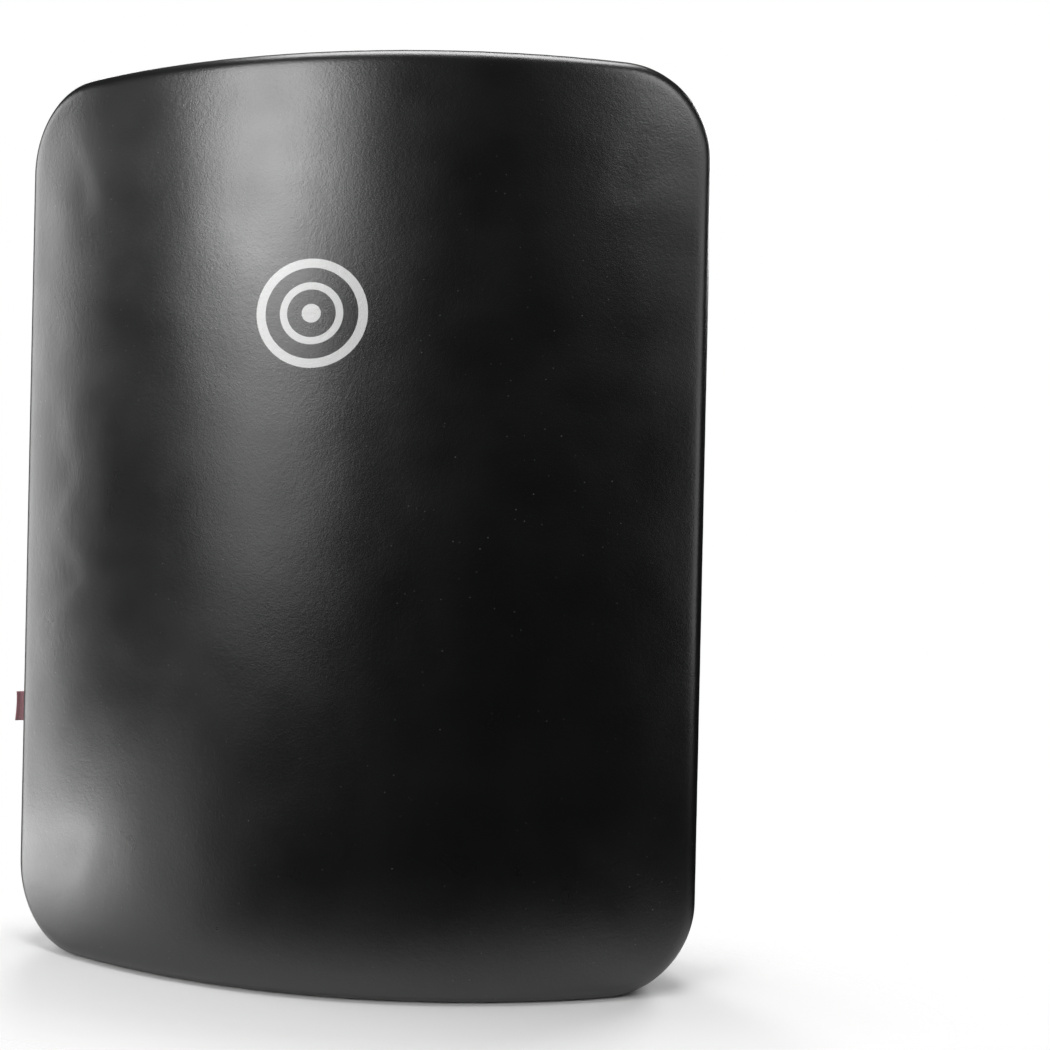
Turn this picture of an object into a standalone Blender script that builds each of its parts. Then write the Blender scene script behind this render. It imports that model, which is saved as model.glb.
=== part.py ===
"""Curved kick shield with three back grips and a four-point arm harness.

World frame: metres, +Z up. The shield stands on its bottom wall. The strike face looks along
-Y and is bent about a vertical axis; the handles and the harness are on the hollow +Y side.
The origin is on the flat bottom wall, at the middle of the shield. Left is -X.
"""
from math import asin, cos, pi, radians, sin

import bmesh
import bpy
from mathutils import Matrix, Vector
from mathutils.geometry import interpolate_bezier

# ---- cushion ----
HEIGHT = 0.750              # bottom wall to top wall
HALF_WIDTH = 0.291          # half of the arc length at mid thickness
THICKNESS = 0.090           # strike face to back panel
R_FRONT = 0.650             # bend radius of the strike face
R_MID = R_FRONT - THICKNESS / 2
R_BACK = R_FRONT - THICKNESS
CORNER = 0.072              # corner radius seen from the front
FRONT_ROLL = 0.012          # rounded rim of the front cover, ends at the front seam
BACK_ROLL = 0.020           # rounded rim of the back cover, ends at the back seam
SKIN = 0.0015               # vinyl thickness
SEAM_GAP = 0.0004
FOAM_CLEAR = 0.0004         # between vinyl and foam
STRIKE_END = 0.0450         # depth where the strike foam ends
CORE_END = 0.0668           # depth where the core foam ends
STRIP = 0.028               # width of the facets that follow the bend

# ---- vents and label ----
VENT_DEPTH = 0.031
VENT_Z = (0.095, 0.608)
EYELET_R, EYELET_HOLE_R, BARREL_R = 0.0085, 0.0040, 0.0052
LABEL_Z, LABEL_H, LABEL_OUT, LABEL_T = 0.205, 0.026, 0.016, 0.0010

# ---- grips ----
WEB_T = 0.0016              # webbing thickness
GRIP_WEB_W = 0.025
LAY = 0.0013                # mid thickness of webbing sewn down, above the back panel
PATCH_T = 0.0012
PATCH_LIFT = 0.0025         # underside of a patch above the back panel
GRIP_W, GRIP_T, GRIP_SKIN = 0.036, 0.022, 0.0012
UPPER_PATCH = (0.107, 0.650, 0.046, 0.050)     # x, z, width, height
MIDDLE_PATCH = (0.193, 0.490, 0.070, 0.044)
TOP_GRIP_Z, TOP_GRIP_HALF, TOP_GRIP_LIFT = 0.662, 0.077, 0.027
SIDE_TOP, SIDE_LOW = (0.120, 0.621), (0.172, 0.508)   # two points on a side grip's line
SIDE_GRIP_HALF, SIDE_GRIP_LIFT = 0.055, 0.028
RIVET_R, RIVET_SHANK_R = 0.0045, 0.0017

# ---- harness ----
HUB_Z, HARNESS_Y = 0.303, 0.086
HUB_R, HUB_T = 0.051, 0.0015
ARM_WEB_W = 0.038
ARM_DIR = (cos(radians(45.5)), sin(radians(45.5)))
ARM_SLEEVE = (0.072, 0.212)                    # distances from the hub centre
ARM_W, ARM_T, ARM_SKIN = 0.062, 0.020, 0.0015
ARM_END = 0.248
LOW_ANCHOR = (0.196, 0.137)
MALE_START = 0.066                             # distance of the male half from the hub centre
BUCKLE_W, BUCKLE_T = 0.050, 0.013
# blocks of the buckle halves, and how far each one's middle lies from the male half's start
MALE_PLATE, MALE_PLATE_AT = (0.026, 0.048, 0.0040), 0.013
MALE_BLOCK, MALE_BLOCK_AT = (0.0090, 0.0440, 0.0090), 0.0240
PRONG, PRONG_AT, PRONG_OUT = (0.0260, 0.0050, 0.0066), 0.0390, 0.0185
TONGUE, TONGUE_AT = (0.0180, 0.0090, 0.0050), 0.0350
SLOT, MALE_SLOTS_AT, TAIL_SLOT_AT = (0.0056, 0.0400, 0.0200), (0.0056, 0.0164), 0.0675
BODY_L, BODY_AT = 0.034, 0.0475
TAIL, TAIL_AT = (0.020, 0.047, 0.0050), 0.0670
SOCKET, SOCKET_AT = (0.0300, 0.0420, 0.0074), 0.0420
WINDOW = (0.0130, 0.0700, 0.0074)

for old in list(bpy.data.objects):
    bpy.data.objects.remove(old, do_unlink=True)

shield = bpy.data.collections.new("kick_shield")
tools = bpy.data.collections.new("cutters")
for group in (shield, tools):
    bpy.context.scene.collection.children.link(group)


def material(name, colour, roughness, metallic=0.0):
    mat = bpy.data.materials.new(name)
    mat.use_nodes = True
    shader = mat.node_tree.nodes["Principled BSDF"]
    shader.inputs["Base Color"].default_value = (*colour, 1.0)
    shader.inputs["Roughness"].default_value = roughness
    shader.inputs["Metallic"].default_value = metallic
    return mat


VINYL = material("vinyl_front", (0.012, 0.012, 0.013), 0.38)
SIDE_VINYL = material("vinyl_side", (0.030, 0.031, 0.033), 0.50)
BACK_VINYL = material("vinyl_back", (0.022, 0.023, 0.025), 0.48)
FOAM = material("foam", (0.32, 0.32, 0.33), 0.95)
WEBBING = material("webbing", (0.012, 0.012, 0.013), 0.85)
GRIP_VINYL = material("grip_vinyl", (0.014, 0.014, 0.016), 0.28)
ARM_FABRIC = material("arm_fabric", (0.016, 0.016, 0.018), 0.92)
PLASTIC = material("buckle_plastic", (0.030, 0.031, 0.033), 0.42)
STEEL = material("eyelet_steel", (0.72, 0.72, 0.74), 0.25, 1.0)
LABEL_CLOTH = material("label_cloth", (0.42, 0.10, 0.11), 0.90)


# ---- placing ----
def angle_at(x):
    """Angle round the bend of a point of the back panel at lateral position x."""
    return asin(x / R_BACK)


def on_back(x, z, lift):
    """Point above the back panel, lift metres towards the user."""
    a = angle_at(x)
    r = R_BACK - lift
    return Vector((r * sin(a), R_MID - r * cos(a), z))


def back_normal(x):
    a = angle_at(x)
    return Vector((-sin(a), cos(a), 0.0))


def bend(co):
    """Wraps a flat layout (arc at mid thickness, depth from the strike face, height)."""
    a = co.x / R_MID
    r = R_FRONT - co.y
    return Vector((r * sin(a), R_MID - r * cos(a), co.z))


def frame_at(origin, along, normal):
    """Matrix whose local X runs along, local Z is the normal, local Y the width."""
    x = along.normalized()
    z = (normal - normal.dot(x) * x).normalized()
    y = z.cross(x)
    return Matrix.Translation(origin) @ Matrix((x, y, z)).transposed().to_4x4()


def put(obj, where, parent=None):
    if parent is None:
        obj.matrix_basis = where
    else:
        obj.parent = parent
        obj.matrix_basis = parent.matrix_basis.inverted() @ where


def pivot(name, origin, along, normal):
    empty = bpy.data.objects.new(name, None)
    empty.empty_display_size = 0.03
    shield.objects.link(empty)
    empty.matrix_basis = frame_at(origin, along, normal)
    return empty


def make(name, bm, mat, smooth=40.0, cutter=False):
    mesh = bpy.data.meshes.new(name)
    bmesh.ops.recalc_face_normals(bm, faces=bm.faces)
    bm.to_mesh(mesh)
    bm.free()
    obj = bpy.data.objects.new(name, mesh)
    if cutter:
        tools.objects.link(obj)
        obj.display_type = "WIRE"
        obj.hide_render = True
        return obj
    shield.objects.link(obj)
    mesh.materials.append(mat)
    mesh.shade_smooth()
    mesh.set_sharp_from_angle(angle=radians(smooth))
    return obj


def thicken(obj, thickness, offset):
    mod = obj.modifiers.new("Thickness", "SOLIDIFY")
    mod.thickness = thickness
    mod.offset = offset
    mod.use_even_offset = True


def boolean(obj, other, operation="DIFFERENCE"):
    mod = obj.modifiers.new("Boolean", "BOOLEAN")
    mod.operation = operation
    mod.solver = "EXACT"
    mod.object = other


# ---- shapes ----
def box(size, centre=(0.0, 0.0, 0.0)):
    bm = bmesh.new()
    bmesh.ops.create_cube(bm, size=1.0)
    bmesh.ops.scale(bm, vec=size, verts=bm.verts)
    bmesh.ops.translate(bm, vec=centre, verts=bm.verts)
    return bm


def round_edges(bm, radius, segments, chosen):
    edges = [e for e in bm.edges if chosen(e)]
    bmesh.ops.bevel(bm, geom=edges, offset=radius, offset_type="OFFSET", segments=segments,
                    profile=0.5, affect="EDGES", clamp_overlap=True)


def runs_along(axis):
    return lambda e: abs((e.verts[0].co - e.verts[1].co).normalized()[axis]) > 0.99


def slice_strips(bm, axis, step):
    """Cuts a flat layout into strips so that it can follow the bend."""
    spread = [v.co[axis] for v in bm.verts]
    low, high = min(spread), max(spread)
    count = int((high - low) / step) // 2
    normal = Vector((1.0 if i == axis else 0.0 for i in range(3)))
    for k in range(-count, count + 1):
        at = (low + high) / 2 + k * step
        if low + step / 3 < at < high - step / 3:
            bmesh.ops.bisect_plane(bm, geom=bm.verts[:] + bm.edges[:] + bm.faces[:],
                                   plane_co=normal * at, plane_no=normal, dist=1e-6)


def cushion_slab(inset, front, back, front_roll=0.0, back_roll=0.0):
    """Rounded slab in the flat layout, between two depths, with optional rolled rims."""
    bm = box((2 * (HALF_WIDTH - inset), back - front, HEIGHT - 2 * inset),
             (0.0, (front + back) / 2, HEIGHT / 2))
    round_edges(bm, CORNER - inset, 5, runs_along(1))
    for depth, roll in ((front, front_roll), (back, back_roll)):
        if roll > 0:
            round_edges(bm, roll, 3, lambda e, d=depth: all(abs(v.co.y - d) < 1e-6
                                                            for v in e.verts))
    slice_strips(bm, 0, STRIP)
    return bm


def drop_faces_at(bm, depth):
    gone = [f for f in bm.faces if all(abs(v.co.y - depth) < 1e-6 for v in f.verts)]
    bmesh.ops.delete(bm, geom=gone, context="FACES")


def bend_all(bm):
    for v in bm.verts:
        v.co = bend(v.co)


def cylinder(radius, length, segments=16):
    bm = bmesh.new()
    bmesh.ops.create_cone(bm, cap_ends=True, segments=segments, radius1=radius,
                          radius2=radius, depth=length)
    return bm


def turned(name, profile, mat, steps=16):
    """Turns a (radius, height) outline about local Z, closed unless both ends are on the axis."""
    mesh = bpy.data.meshes.new(name)
    bm = bmesh.new()
    verts = [bm.verts.new((r, 0.0, h)) for r, h in profile]
    solid = profile[0][0] == 0.0 and profile[-1][0] == 0.0
    for a, b in zip(verts, verts[1:] + ([] if solid else verts[:1])):
        bm.edges.new((a, b))
    bm.to_mesh(mesh)
    bm.free()
    obj = bpy.data.objects.new(name, mesh)
    shield.objects.link(obj)
    mesh.materials.append(mat)
    mod = obj.modifiers.new("Turn", "SCREW")
    mod.axis = "Z"
    mod.use_smooth_shade = True
    mod.angle = 2 * pi
    mod.screw_offset = 0.0
    mod.steps = mod.render_steps = steps
    mod.use_merge_vertices = True
    mod.merge_threshold = 1e-5
    return obj


def ribbon(name, stations, width, mat):
    """Webbing: a strip of two columns laid through stations of (point, width direction)."""
    bm = bmesh.new()
    bmesh.ops.create_grid(bm, x_segments=len(stations) - 1, y_segments=1, size=0.5)
    n = len(stations) - 1
    for v in bm.verts:
        point, across = stations[round((v.co.x + 0.5) * n)]
        side = 1.0 if v.co.y > 0 else -1.0
        v.co = point + across * (side * width / 2)
    obj = make(name, bm, mat, 60.0)
    thicken(obj, WEB_T, 0.0)
    return obj


def riser(low, low_dir, high, high_dir, reach, steps):
    """Smooth rise of webbing from a sewn-down run to a free run."""
    return interpolate_bezier(low, low + low_dir * reach, high - high_dir * reach, high, steps)


def back_patch(name, x, z, width, height):
    """Vinyl patch sewn over webbing ends on the hollow back."""
    scale = R_MID / R_BACK
    low = THICKNESS + PATCH_LIFT
    bm = box((width * scale, PATCH_T, height), (0.0, low + PATCH_T / 2, z))
    round_edges(bm, 0.006, 2, runs_along(1))
    slice_strips(bm, 0, 0.014)
    bmesh.ops.translate(bm, vec=(angle_at(x) * R_MID, 0.0, 0.0), verts=bm.verts)
    bend_all(bm)
    return make(name, bm, SIDE_VINYL)


# ---- cushion ----
def build_cushion():
    seam = FRONT_ROLL
    bm = cushion_slab(SEAM_GAP, 0.0, seam, front_roll=FRONT_ROLL - SEAM_GAP)
    drop_faces_at(bm, seam)
    bend_all(bm)
    front = make("front_cover", bm, VINYL)
    thicken(front, SKIN, -1.0)

    bm = cushion_slab(0.0, seam + SEAM_GAP, THICKNESS - BACK_ROLL - SEAM_GAP)
    drop_faces_at(bm, seam + SEAM_GAP)
    drop_faces_at(bm, THICKNESS - BACK_ROLL - SEAM_GAP)
    bend_all(bm)
    gusset = make("side_gusset", bm, SIDE_VINYL)
    thicken(gusset, SKIN, -1.0)

    bm = cushion_slab(SEAM_GAP, THICKNESS - BACK_ROLL, THICKNESS,
                      back_roll=BACK_ROLL - SEAM_GAP)
    drop_faces_at(bm, THICKNESS - BACK_ROLL)
    bend_all(bm)
    back = make("back_cover", bm, BACK_VINYL)
    thicken(back, SKIN, -1.0)

    skin = SKIN + FOAM_CLEAR
    inset = skin + SEAM_GAP
    foams = []
    for name, start, end, roll_f, roll_b in (
            ("strike_foam", skin, STRIKE_END - 0.0002, FRONT_ROLL - skin, 0.0),
            ("core_foam", STRIKE_END + 0.0002, CORE_END - 0.0002, 0.0, 0.0),
            ("backing_foam", CORE_END + 0.0002, THICKNESS - skin, 0.0, BACK_ROLL - skin)):
        bm = cushion_slab(inset, start, end, roll_f, roll_b)
        bend_all(bm)
        foams.append(make(name, bm, FOAM))
    return gusset, back, foams


def wall_frame(side, z):
    """Frame on the flat side wall: local Z points out of the wall, local X along its height."""
    a = side * HALF_WIDTH / R_MID
    r = R_FRONT - VENT_DEPTH
    point = Vector((r * sin(a), R_MID - r * cos(a), z))
    out = Vector((cos(a), sin(a), 0.0)) * side
    return frame_at(point, Vector((0.0, 0.0, 1.0)), out)


def build_vents(gusset, strike):
    for side, where in ((-1, "left"), (1, "right")):
        for z, level in zip(VENT_Z, ("lower", "upper")):
            place = wall_frame(side, z)
            hole = make(f"cut_vent_{where}_{level}", cylinder(BARREL_R + 0.0003, 0.010), None,
                        cutter=True)
            hole.matrix_basis = place
            boolean(gusset, hole)
            pocket = make(f"cut_pocket_{where}_{level}", cylinder(0.0105, 0.0120), None,
                          cutter=True)
            pocket.matrix_basis = place
            boolean(strike, pocket)
            out, back = 0.0003, -0.0040
            eyelet = turned(f"vent_eyelet_{where}_{level}", [
                (EYELET_HOLE_R, 0.0012), (BARREL_R, 0.0020), (EYELET_R - 0.0012, 0.0019),
                (EYELET_R, out + 0.0005), (EYELET_R, out), (BARREL_R, out), (BARREL_R, back),
                (EYELET_HOLE_R, back)], STEEL)
            put(eyelet, place)
            washer = turned(f"vent_washer_{where}_{level}", [
                (BARREL_R + 0.0003, -0.0018), (0.0080, -0.0018), (0.0080, -0.0026),
                (BARREL_R + 0.0003, -0.0026)], STEEL)
            put(washer, place)


def build_label(gusset):
    depth = FRONT_ROLL + SEAM_GAP + LABEL_T / 2 + 0.0003
    a = -HALF_WIDTH / R_MID
    r = R_FRONT - depth
    out = Vector((-cos(a), -sin(a), 0.0))
    inwards = Vector((-sin(a), cos(a), 0.0))
    place = frame_at(Vector((r * sin(a), R_MID - r * cos(a), LABEL_Z)), out, inwards)
    bm = box((LABEL_OUT + 0.0015, LABEL_H, LABEL_T), (LABEL_OUT / 2 - 0.00075, 0.0, 0.0))
    round_edges(bm, 0.0004, 2, lambda e: all(v.co.x > 0.01 for v in e.verts)
                and runs_along(1)(e))
    put(make("label_tab", bm, LABEL_CLOTH), place)
    notch = make("cut_label_notch", box((0.008, LABEL_H + 0.001, LABEL_T + 0.0012)), None,
                 cutter=True)
    notch.matrix_basis = place
    boolean(gusset, notch)


# ---- grips ----
def fade(first, last, count):
    """Normals that turn evenly from one to the other over a riser."""
    return [first.lerp(last, k / (count - 1)).normalized() for k in range(count)]


def grip_strap(name, sewn_a, grip_start, grip_end, sewn_b, normal):
    """Webbing sewn down at both ends that rises into a straight grip."""
    along = (grip_end - grip_start).normalized()
    leave, arrive = sewn_a[-1], sewn_b[0]
    up = riser(leave, (leave - sewn_a[-2]).normalized(), grip_start, along, 0.008, 7)
    down = riser(grip_end, along, arrive, (sewn_b[1] - arrive).normalized(), 0.008, 7)
    points = sewn_a[:-1] + up + down + sewn_b[1:]
    normals = ([back_normal(p.x) for p in sewn_a[:-1]] + fade(back_normal(leave.x), normal, 7)
               + fade(normal, back_normal(arrive.x), 7) + [back_normal(p.x) for p in sewn_b[1:]])
    stations = [(p, along.cross(n).normalized()) for p, n in zip(points, normals)]
    return ribbon(name, stations, GRIP_WEB_W, WEBBING)


def grip_body(name, centre, along, normal, half, parent):
    place = frame_at(centre, along, normal)
    turn = Matrix.Rotation(pi / 2, 4, "Y")

    bm = cylinder(0.5, 2 * half, 16)
    bmesh.ops.transform(bm, matrix=turn, verts=bm.verts)
    bmesh.ops.scale(bm, vec=(1.0, GRIP_W, GRIP_T), verts=bm.verts)
    ends = [f for f in bm.faces if abs(f.normal.x) > 0.9]
    bmesh.ops.delete(bm, geom=ends, context="FACES_ONLY")
    sleeve = make(f"{name}_sleeve", bm, GRIP_VINYL)
    thicken(sleeve, GRIP_SKIN, -1.0)
    put(sleeve, place, parent)

    shrink = 2 * (GRIP_SKIN + 0.0004)
    bm = cylinder(0.5, 2 * half - 0.004, 16)
    bmesh.ops.transform(bm, matrix=turn, verts=bm.verts)
    bmesh.ops.scale(bm, vec=(1.0, GRIP_W - shrink, GRIP_T - shrink), verts=bm.verts)
    foam = make(f"{name}_foam", bm, FOAM)
    slot = make(f"cut_{name}_slot", box((2 * half + 0.02, GRIP_WEB_W + 0.001, WEB_T + 0.0008)),
                None, cutter=True)
    slot.matrix_basis = place
    boolean(foam, slot)
    put(foam, place, parent)


def build_top_grip():
    up = Vector((0.0, 1.0, 0.0))
    along = Vector((1.0, 0.0, 0.0))
    y = on_back(0.0, 0.0, TOP_GRIP_LIFT).y
    z = TOP_GRIP_Z
    px, _, pw, _ = UPPER_PATCH
    leave, end = px - pw / 2 - 0.001, px + pw / 2 - 0.004
    sewn = [on_back(leave + (end - leave) * k / 3, z, LAY) for k in range(4)]
    mirrored = [Vector((-p.x, p.y, p.z)) for p in reversed(sewn)]
    grip_strap("top_grip_strap", mirrored, Vector((-TOP_GRIP_HALF - 0.001, y, z)),
               Vector((TOP_GRIP_HALF + 0.001, y, z)), sewn, up)
    hinge = pivot("top_grip_pivot", Vector((0.0, on_back(px, z, 0.002).y, z)), along, up)
    grip_body("top_grip", Vector((0.0, y, z)), along, up, TOP_GRIP_HALF, hinge)


def side_line(side, z):
    """Point of a side grip's sewn line at height z, as lateral position."""
    (x0, z0), (x1, z1) = SIDE_TOP, SIDE_LOW
    return side * (x0 + (x1 - x0) * (z - z0) / (z1 - z0))


def build_side_grip(side, name):
    top_end, top_leave = 0.640, UPPER_PATCH[1] - UPPER_PATCH[3] / 2 - 0.006
    low_leave, low_end = MIDDLE_PATCH[1] + MIDDLE_PATCH[3] / 2 + 0.006, 0.4975
    a = on_back(side_line(side, top_leave), top_leave, 0.002)
    b = on_back(side_line(side, low_leave), low_leave, 0.002)
    along = (b - a).normalized()
    mid_x = (a.x + b.x) / 2
    normal = back_normal(mid_x)
    normal = (normal - normal.dot(along) * along).normalized()
    centre = (a + b) / 2 + normal * (SIDE_GRIP_LIFT - 0.002)
    reach = along * (SIDE_GRIP_HALF + 0.001)
    sewn = [[on_back(side_line(side, z), z, LAY) for z in levels]
            for levels in ((top_end, 0.630, top_leave), (low_leave, 0.508, low_end))]
    grip_strap(f"{name}_grip_strap", sewn[0], centre - reach, centre + reach, sewn[1], normal)
    hinge = pivot(f"{name}_grip_pivot", (a + b) / 2, along, normal)
    grip_body(f"{name}_grip", centre, along, normal, SIDE_GRIP_HALF, hinge)


def build_patches_and_rivets(back, backing):
    spots = []
    for side, where in ((-1, "left"), (1, "right")):
        x, z, w, h = UPPER_PATCH
        upper = back_patch(f"upper_patch_{where}", side * x, z, w, h)
        x, z, w, h = MIDDLE_PATCH
        middle = back_patch(f"middle_patch_{where}", side * x, z, w, h)
        strap = bpy.data.objects[f"{where}_grip_strap"]
        top = bpy.data.objects["top_grip_strap"]
        spots += [(f"rivet_{where}_top", side * 0.116, TOP_GRIP_Z, upper, top),
                  (f"rivet_{where}_side", side_line(side, 0.6345), 0.6345, upper, strap),
                  (f"rivet_{where}_outer", side * 0.214, 0.490, middle, None)]
    for name, x, z, patch, strap in spots:
        place = frame_at(on_back(x, z, 0.0), Vector((0.0, 0.0, 1.0)), back_normal(x))
        seat = PATCH_LIFT + PATCH_T + 0.0005
        rivet = turned(name, [
            (0.0, seat + 0.0022), (RIVET_R * 0.6, seat + 0.0018), (RIVET_R * 0.92, seat + 0.0009),
            (RIVET_R, seat), (RIVET_SHANK_R, seat), (RIVET_SHANK_R, -0.0030), (0.0, -0.0030)],
            STEEL, 12)
        put(rivet, place)
        hole = make(f"cut_{name}", cylinder(RIVET_SHANK_R + 0.0003, 0.016, 12), None,
                    cutter=True)
        hole.matrix_basis = place
        for target in (patch, strap, back, backing):
            if target is not None:
                boolean(target, hole)


# ---- harness ----
def arm_point(side, r, y=HARNESS_Y):
    return Vector((side * r * ARM_DIR[0], y, HUB_Z + r * ARM_DIR[1]))


def build_arm(side, name):
    along = Vector((side * ARM_DIR[0], 0.0, ARM_DIR[1]))
    up = Vector((0.0, 1.0, 0.0))
    lay = []
    for r in (0.224, 0.236, ARM_END):
        p = arm_point(side, r)
        lay.append(on_back(p.x, p.z, LAY))
    points = [arm_point(side, 0.0315), arm_point(side, 0.060), arm_point(side, ARM_SLEEVE[1])]
    down = (lay[1] - lay[0]).normalized()
    normals = [up, up]
    points = points[:-1] + riser(points[-1], along, lay[0], down, 0.005, 7) + lay[1:]
    normals += fade(up, back_normal(lay[0].x), 7) + [back_normal(p.x) for p in lay[1:]]
    stations = [(p, along.cross(n).normalized()) for p, n in zip(points, normals)]
    ribbon(f"arm_strap_{name}", stations, ARM_WEB_W, WEBBING)

    near, far = ARM_SLEEVE
    place = frame_at(arm_point(side, (near + far) / 2), along, up)
    length = far - near
    rim = runs_along(0)
    bm = box((length, ARM_W, ARM_T))
    round_edges(bm, ARM_T * 0.46, 4, rim)
    ends = [f for f in bm.faces if abs(f.normal.x) > 0.9]
    bmesh.ops.delete(bm, geom=ends, context="FACES_ONLY")
    sleeve = make(f"arm_sleeve_{name}", bm, ARM_FABRIC)
    thicken(sleeve, ARM_SKIN, -1.0)
    put(sleeve, place)

    shrink = 2 * (ARM_SKIN + 0.0004)
    bm = box((length - 0.006, ARM_W - shrink, ARM_T - shrink))
    round_edges(bm, (ARM_T - shrink) * 0.44, 4, rim)
    foam = make(f"arm_foam_{name}", bm, FOAM)
    slot = make(f"cut_arm_{name}_slot", box((length + 0.02, ARM_WEB_W + 0.001, WEB_T + 0.0008)),
                None, cutter=True)
    slot.matrix_basis = place
    boolean(foam, slot)
    put(foam, place)


def build_hub():
    face = frame_at(Vector((0.0, HARNESS_Y, HUB_Z)), Vector((1.0, 0.0, 0.0)),
                    Vector((0.0, 1.0, 0.0)))
    gap = WEB_T / 2 + 0.0004
    for name, low in (("hub_disc_outer", gap), ("hub_disc_inner", -gap - HUB_T)):
        bm = cylinder(HUB_R, HUB_T, 32)
        round_edges(bm, 0.0005, 1, lambda e: abs(e.verts[0].co.z - e.verts[1].co.z) < 1e-6)
        bmesh.ops.translate(bm, vec=(0.0, 0.0, low + HUB_T / 2), verts=bm.verts)
        put(make(name, bm, GRIP_VINYL, 30.0), face)
    put(make("hub_stiffener", cylinder(0.0300, WEB_T, 24), PLASTIC, 30.0), face)


def lower_frame(side):
    """Local X runs from the hub centre down to the lower anchor, local Z faces the user."""
    along = Vector((side * LOW_ANCHOR[0], 0.0, LOW_ANCHOR[1] - HUB_Z)).normalized()
    return along, frame_at(Vector((0.0, HARNESS_Y, HUB_Z)), along, Vector((0.0, 1.0, 0.0)))


def build_hub_strap(side, name):
    """Short webbing below the hub, laced round the male half's middle bar."""
    along, place = lower_frame(side)
    m = MALE_START
    route = [(0.0315, 0.0), (m - 0.012, 0.0), (m - 0.005, -0.0026), (m - 0.001, -0.0034),
             (m + 0.0035, -0.0034), (m + 0.0056, -0.0014), (m + 0.0062, 0.0014),
             (m + 0.0082, 0.0033), (m + 0.0110, 0.0036), (m + 0.0138, 0.0033),
             (m + 0.0156, 0.0014), (m + 0.0163, -0.0014), (m + 0.0155, -0.0042),
             (m + 0.0130, -0.0055), (m + 0.0020, -0.0056), (m - 0.0120, -0.0056)]
    across = place.to_3x3() @ Vector((0.0, 1.0, 0.0))
    stations = [(place @ Vector((x, 0.0, z)), across) for x, z in route]
    ribbon(f"hub_strap_{name}", stations, ARM_WEB_W, WEBBING)


def build_low_strap(side, name):
    """Webbing from the lower anchor, looped round the female half's bar and sewn back."""
    along, place = lower_frame(side)
    bar = MALE_START + 0.073
    loop = [(bar + 0.036, -0.0011), (bar + 0.015, -0.0011), (bar + 0.010, -0.0018),
            (bar + 0.0055, -0.0035), (bar + 0.0020, -0.0038), (bar - 0.0036, -0.0037),
            (bar - 0.0054, -0.0018), (bar - 0.0054, 0.0018), (bar - 0.0036, 0.0037),
            (bar + 0.0020, 0.0038), (bar + 0.0055, 0.0035), (bar + 0.010, 0.0018),
            (bar + 0.015, 0.0011), (bar + 0.038, 0.0011)]
    points = [place @ Vector((x, 0.0, z)) for x, z in loop]
    lay = []
    for r in (0.222, 0.235, 0.248, 0.262):
        p = place @ Vector((r, 0.0, 0.0))
        lay.append(on_back(p.x, p.z, LAY))
    up = Vector((0.0, 1.0, 0.0))
    down = (lay[1] - lay[0]).normalized()
    normals = [up] * (len(points) - 1)
    points = points[:-1] + riser(points[-1], along, lay[0], down, 0.010, 7) + lay[1:]
    normals += fade(up, back_normal(lay[0].x), 7) + [back_normal(p.x) for p in lay[1:]]
    stations = [(p, along.cross(n).normalized()) for p, n in zip(points, normals)]
    ribbon(f"low_strap_{name}", stations, ARM_WEB_W, WEBBING)


def buckle_block(name, size, at, across, radius, steps, chosen, place):
    """Rounded block of a buckle, its middle at a distance along the strap and one across it."""
    bm = box(size, (at, across, 0.0))
    if radius:
        round_edges(bm, radius, steps, chosen)
    piece = make(name, bm, None, cutter=True)
    piece.matrix_basis = place
    return piece


def build_buckle(side, name):
    along, place = lower_frame(side)
    start = place @ Matrix.Translation((MALE_START, 0.0, 0.0))
    by_corner = runs_along(2)

    bm = box(MALE_PLATE, (MALE_PLATE_AT, 0.0, 0.0))
    round_edges(bm, 0.004, 3, by_corner)
    male = make(f"buckle_male_{name}", bm, PLASTIC, 30.0)
    joins = ((MALE_BLOCK, MALE_BLOCK_AT, 0.0, runs_along(1)), (PRONG, PRONG_AT, PRONG_OUT, by_corner),
             (PRONG, PRONG_AT, -PRONG_OUT, by_corner), (TONGUE, TONGUE_AT, 0.0, by_corner))
    for k, (size, at, across, chosen) in enumerate(joins):
        boolean(male, buckle_block(f"join_male_{name}_{k}", size, at, across, 0.0012, 2, chosen,
                                   start), "UNION")
    for k, at in enumerate(MALE_SLOTS_AT):
        boolean(male, buckle_block(f"cut_male_{name}_{k}", SLOT, at, 0.0, 0.0, 0, None, start))
    put(male, start)

    root = pivot(f"buckle_slide_{name}", place @ Vector((MALE_START + 0.030, 0.0, 0.0)), along,
                 Vector((0.0, 1.0, 0.0)))
    bm = box((BODY_L, BUCKLE_W, BUCKLE_T), (BODY_AT, 0.0, 0.0))
    round_edges(bm, 0.0030, 3, lambda e: runs_along(0)(e) or runs_along(2)(e))
    female = make(f"buckle_female_{name}", bm, PLASTIC, 30.0)
    boolean(female, buckle_block(f"join_female_{name}", TAIL, TAIL_AT, 0.0, 0.003, 3, by_corner,
                                 start), "UNION")
    for k, (size, at) in enumerate(((SOCKET, SOCKET_AT), (WINDOW, BODY_AT), (SLOT, TAIL_SLOT_AT))):
        boolean(female, buckle_block(f"cut_female_{name}_{k}", size, at, 0.0, 0.0, 0, None, start))
    put(female, start, root)


gusset, back, foams = build_cushion()
build_vents(gusset, foams[0])
build_label(gusset)
build_top_grip()
build_side_grip(-1, "left")
build_side_grip(1, "right")
build_patches_and_rivets(back, foams[2])
build_hub()
for side, name in ((-1, "left"), (1, "right")):
    build_arm(side, name)
    build_hub_strap(side, name)
    build_low_strap(side, name)
    build_buckle(side, name)
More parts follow.
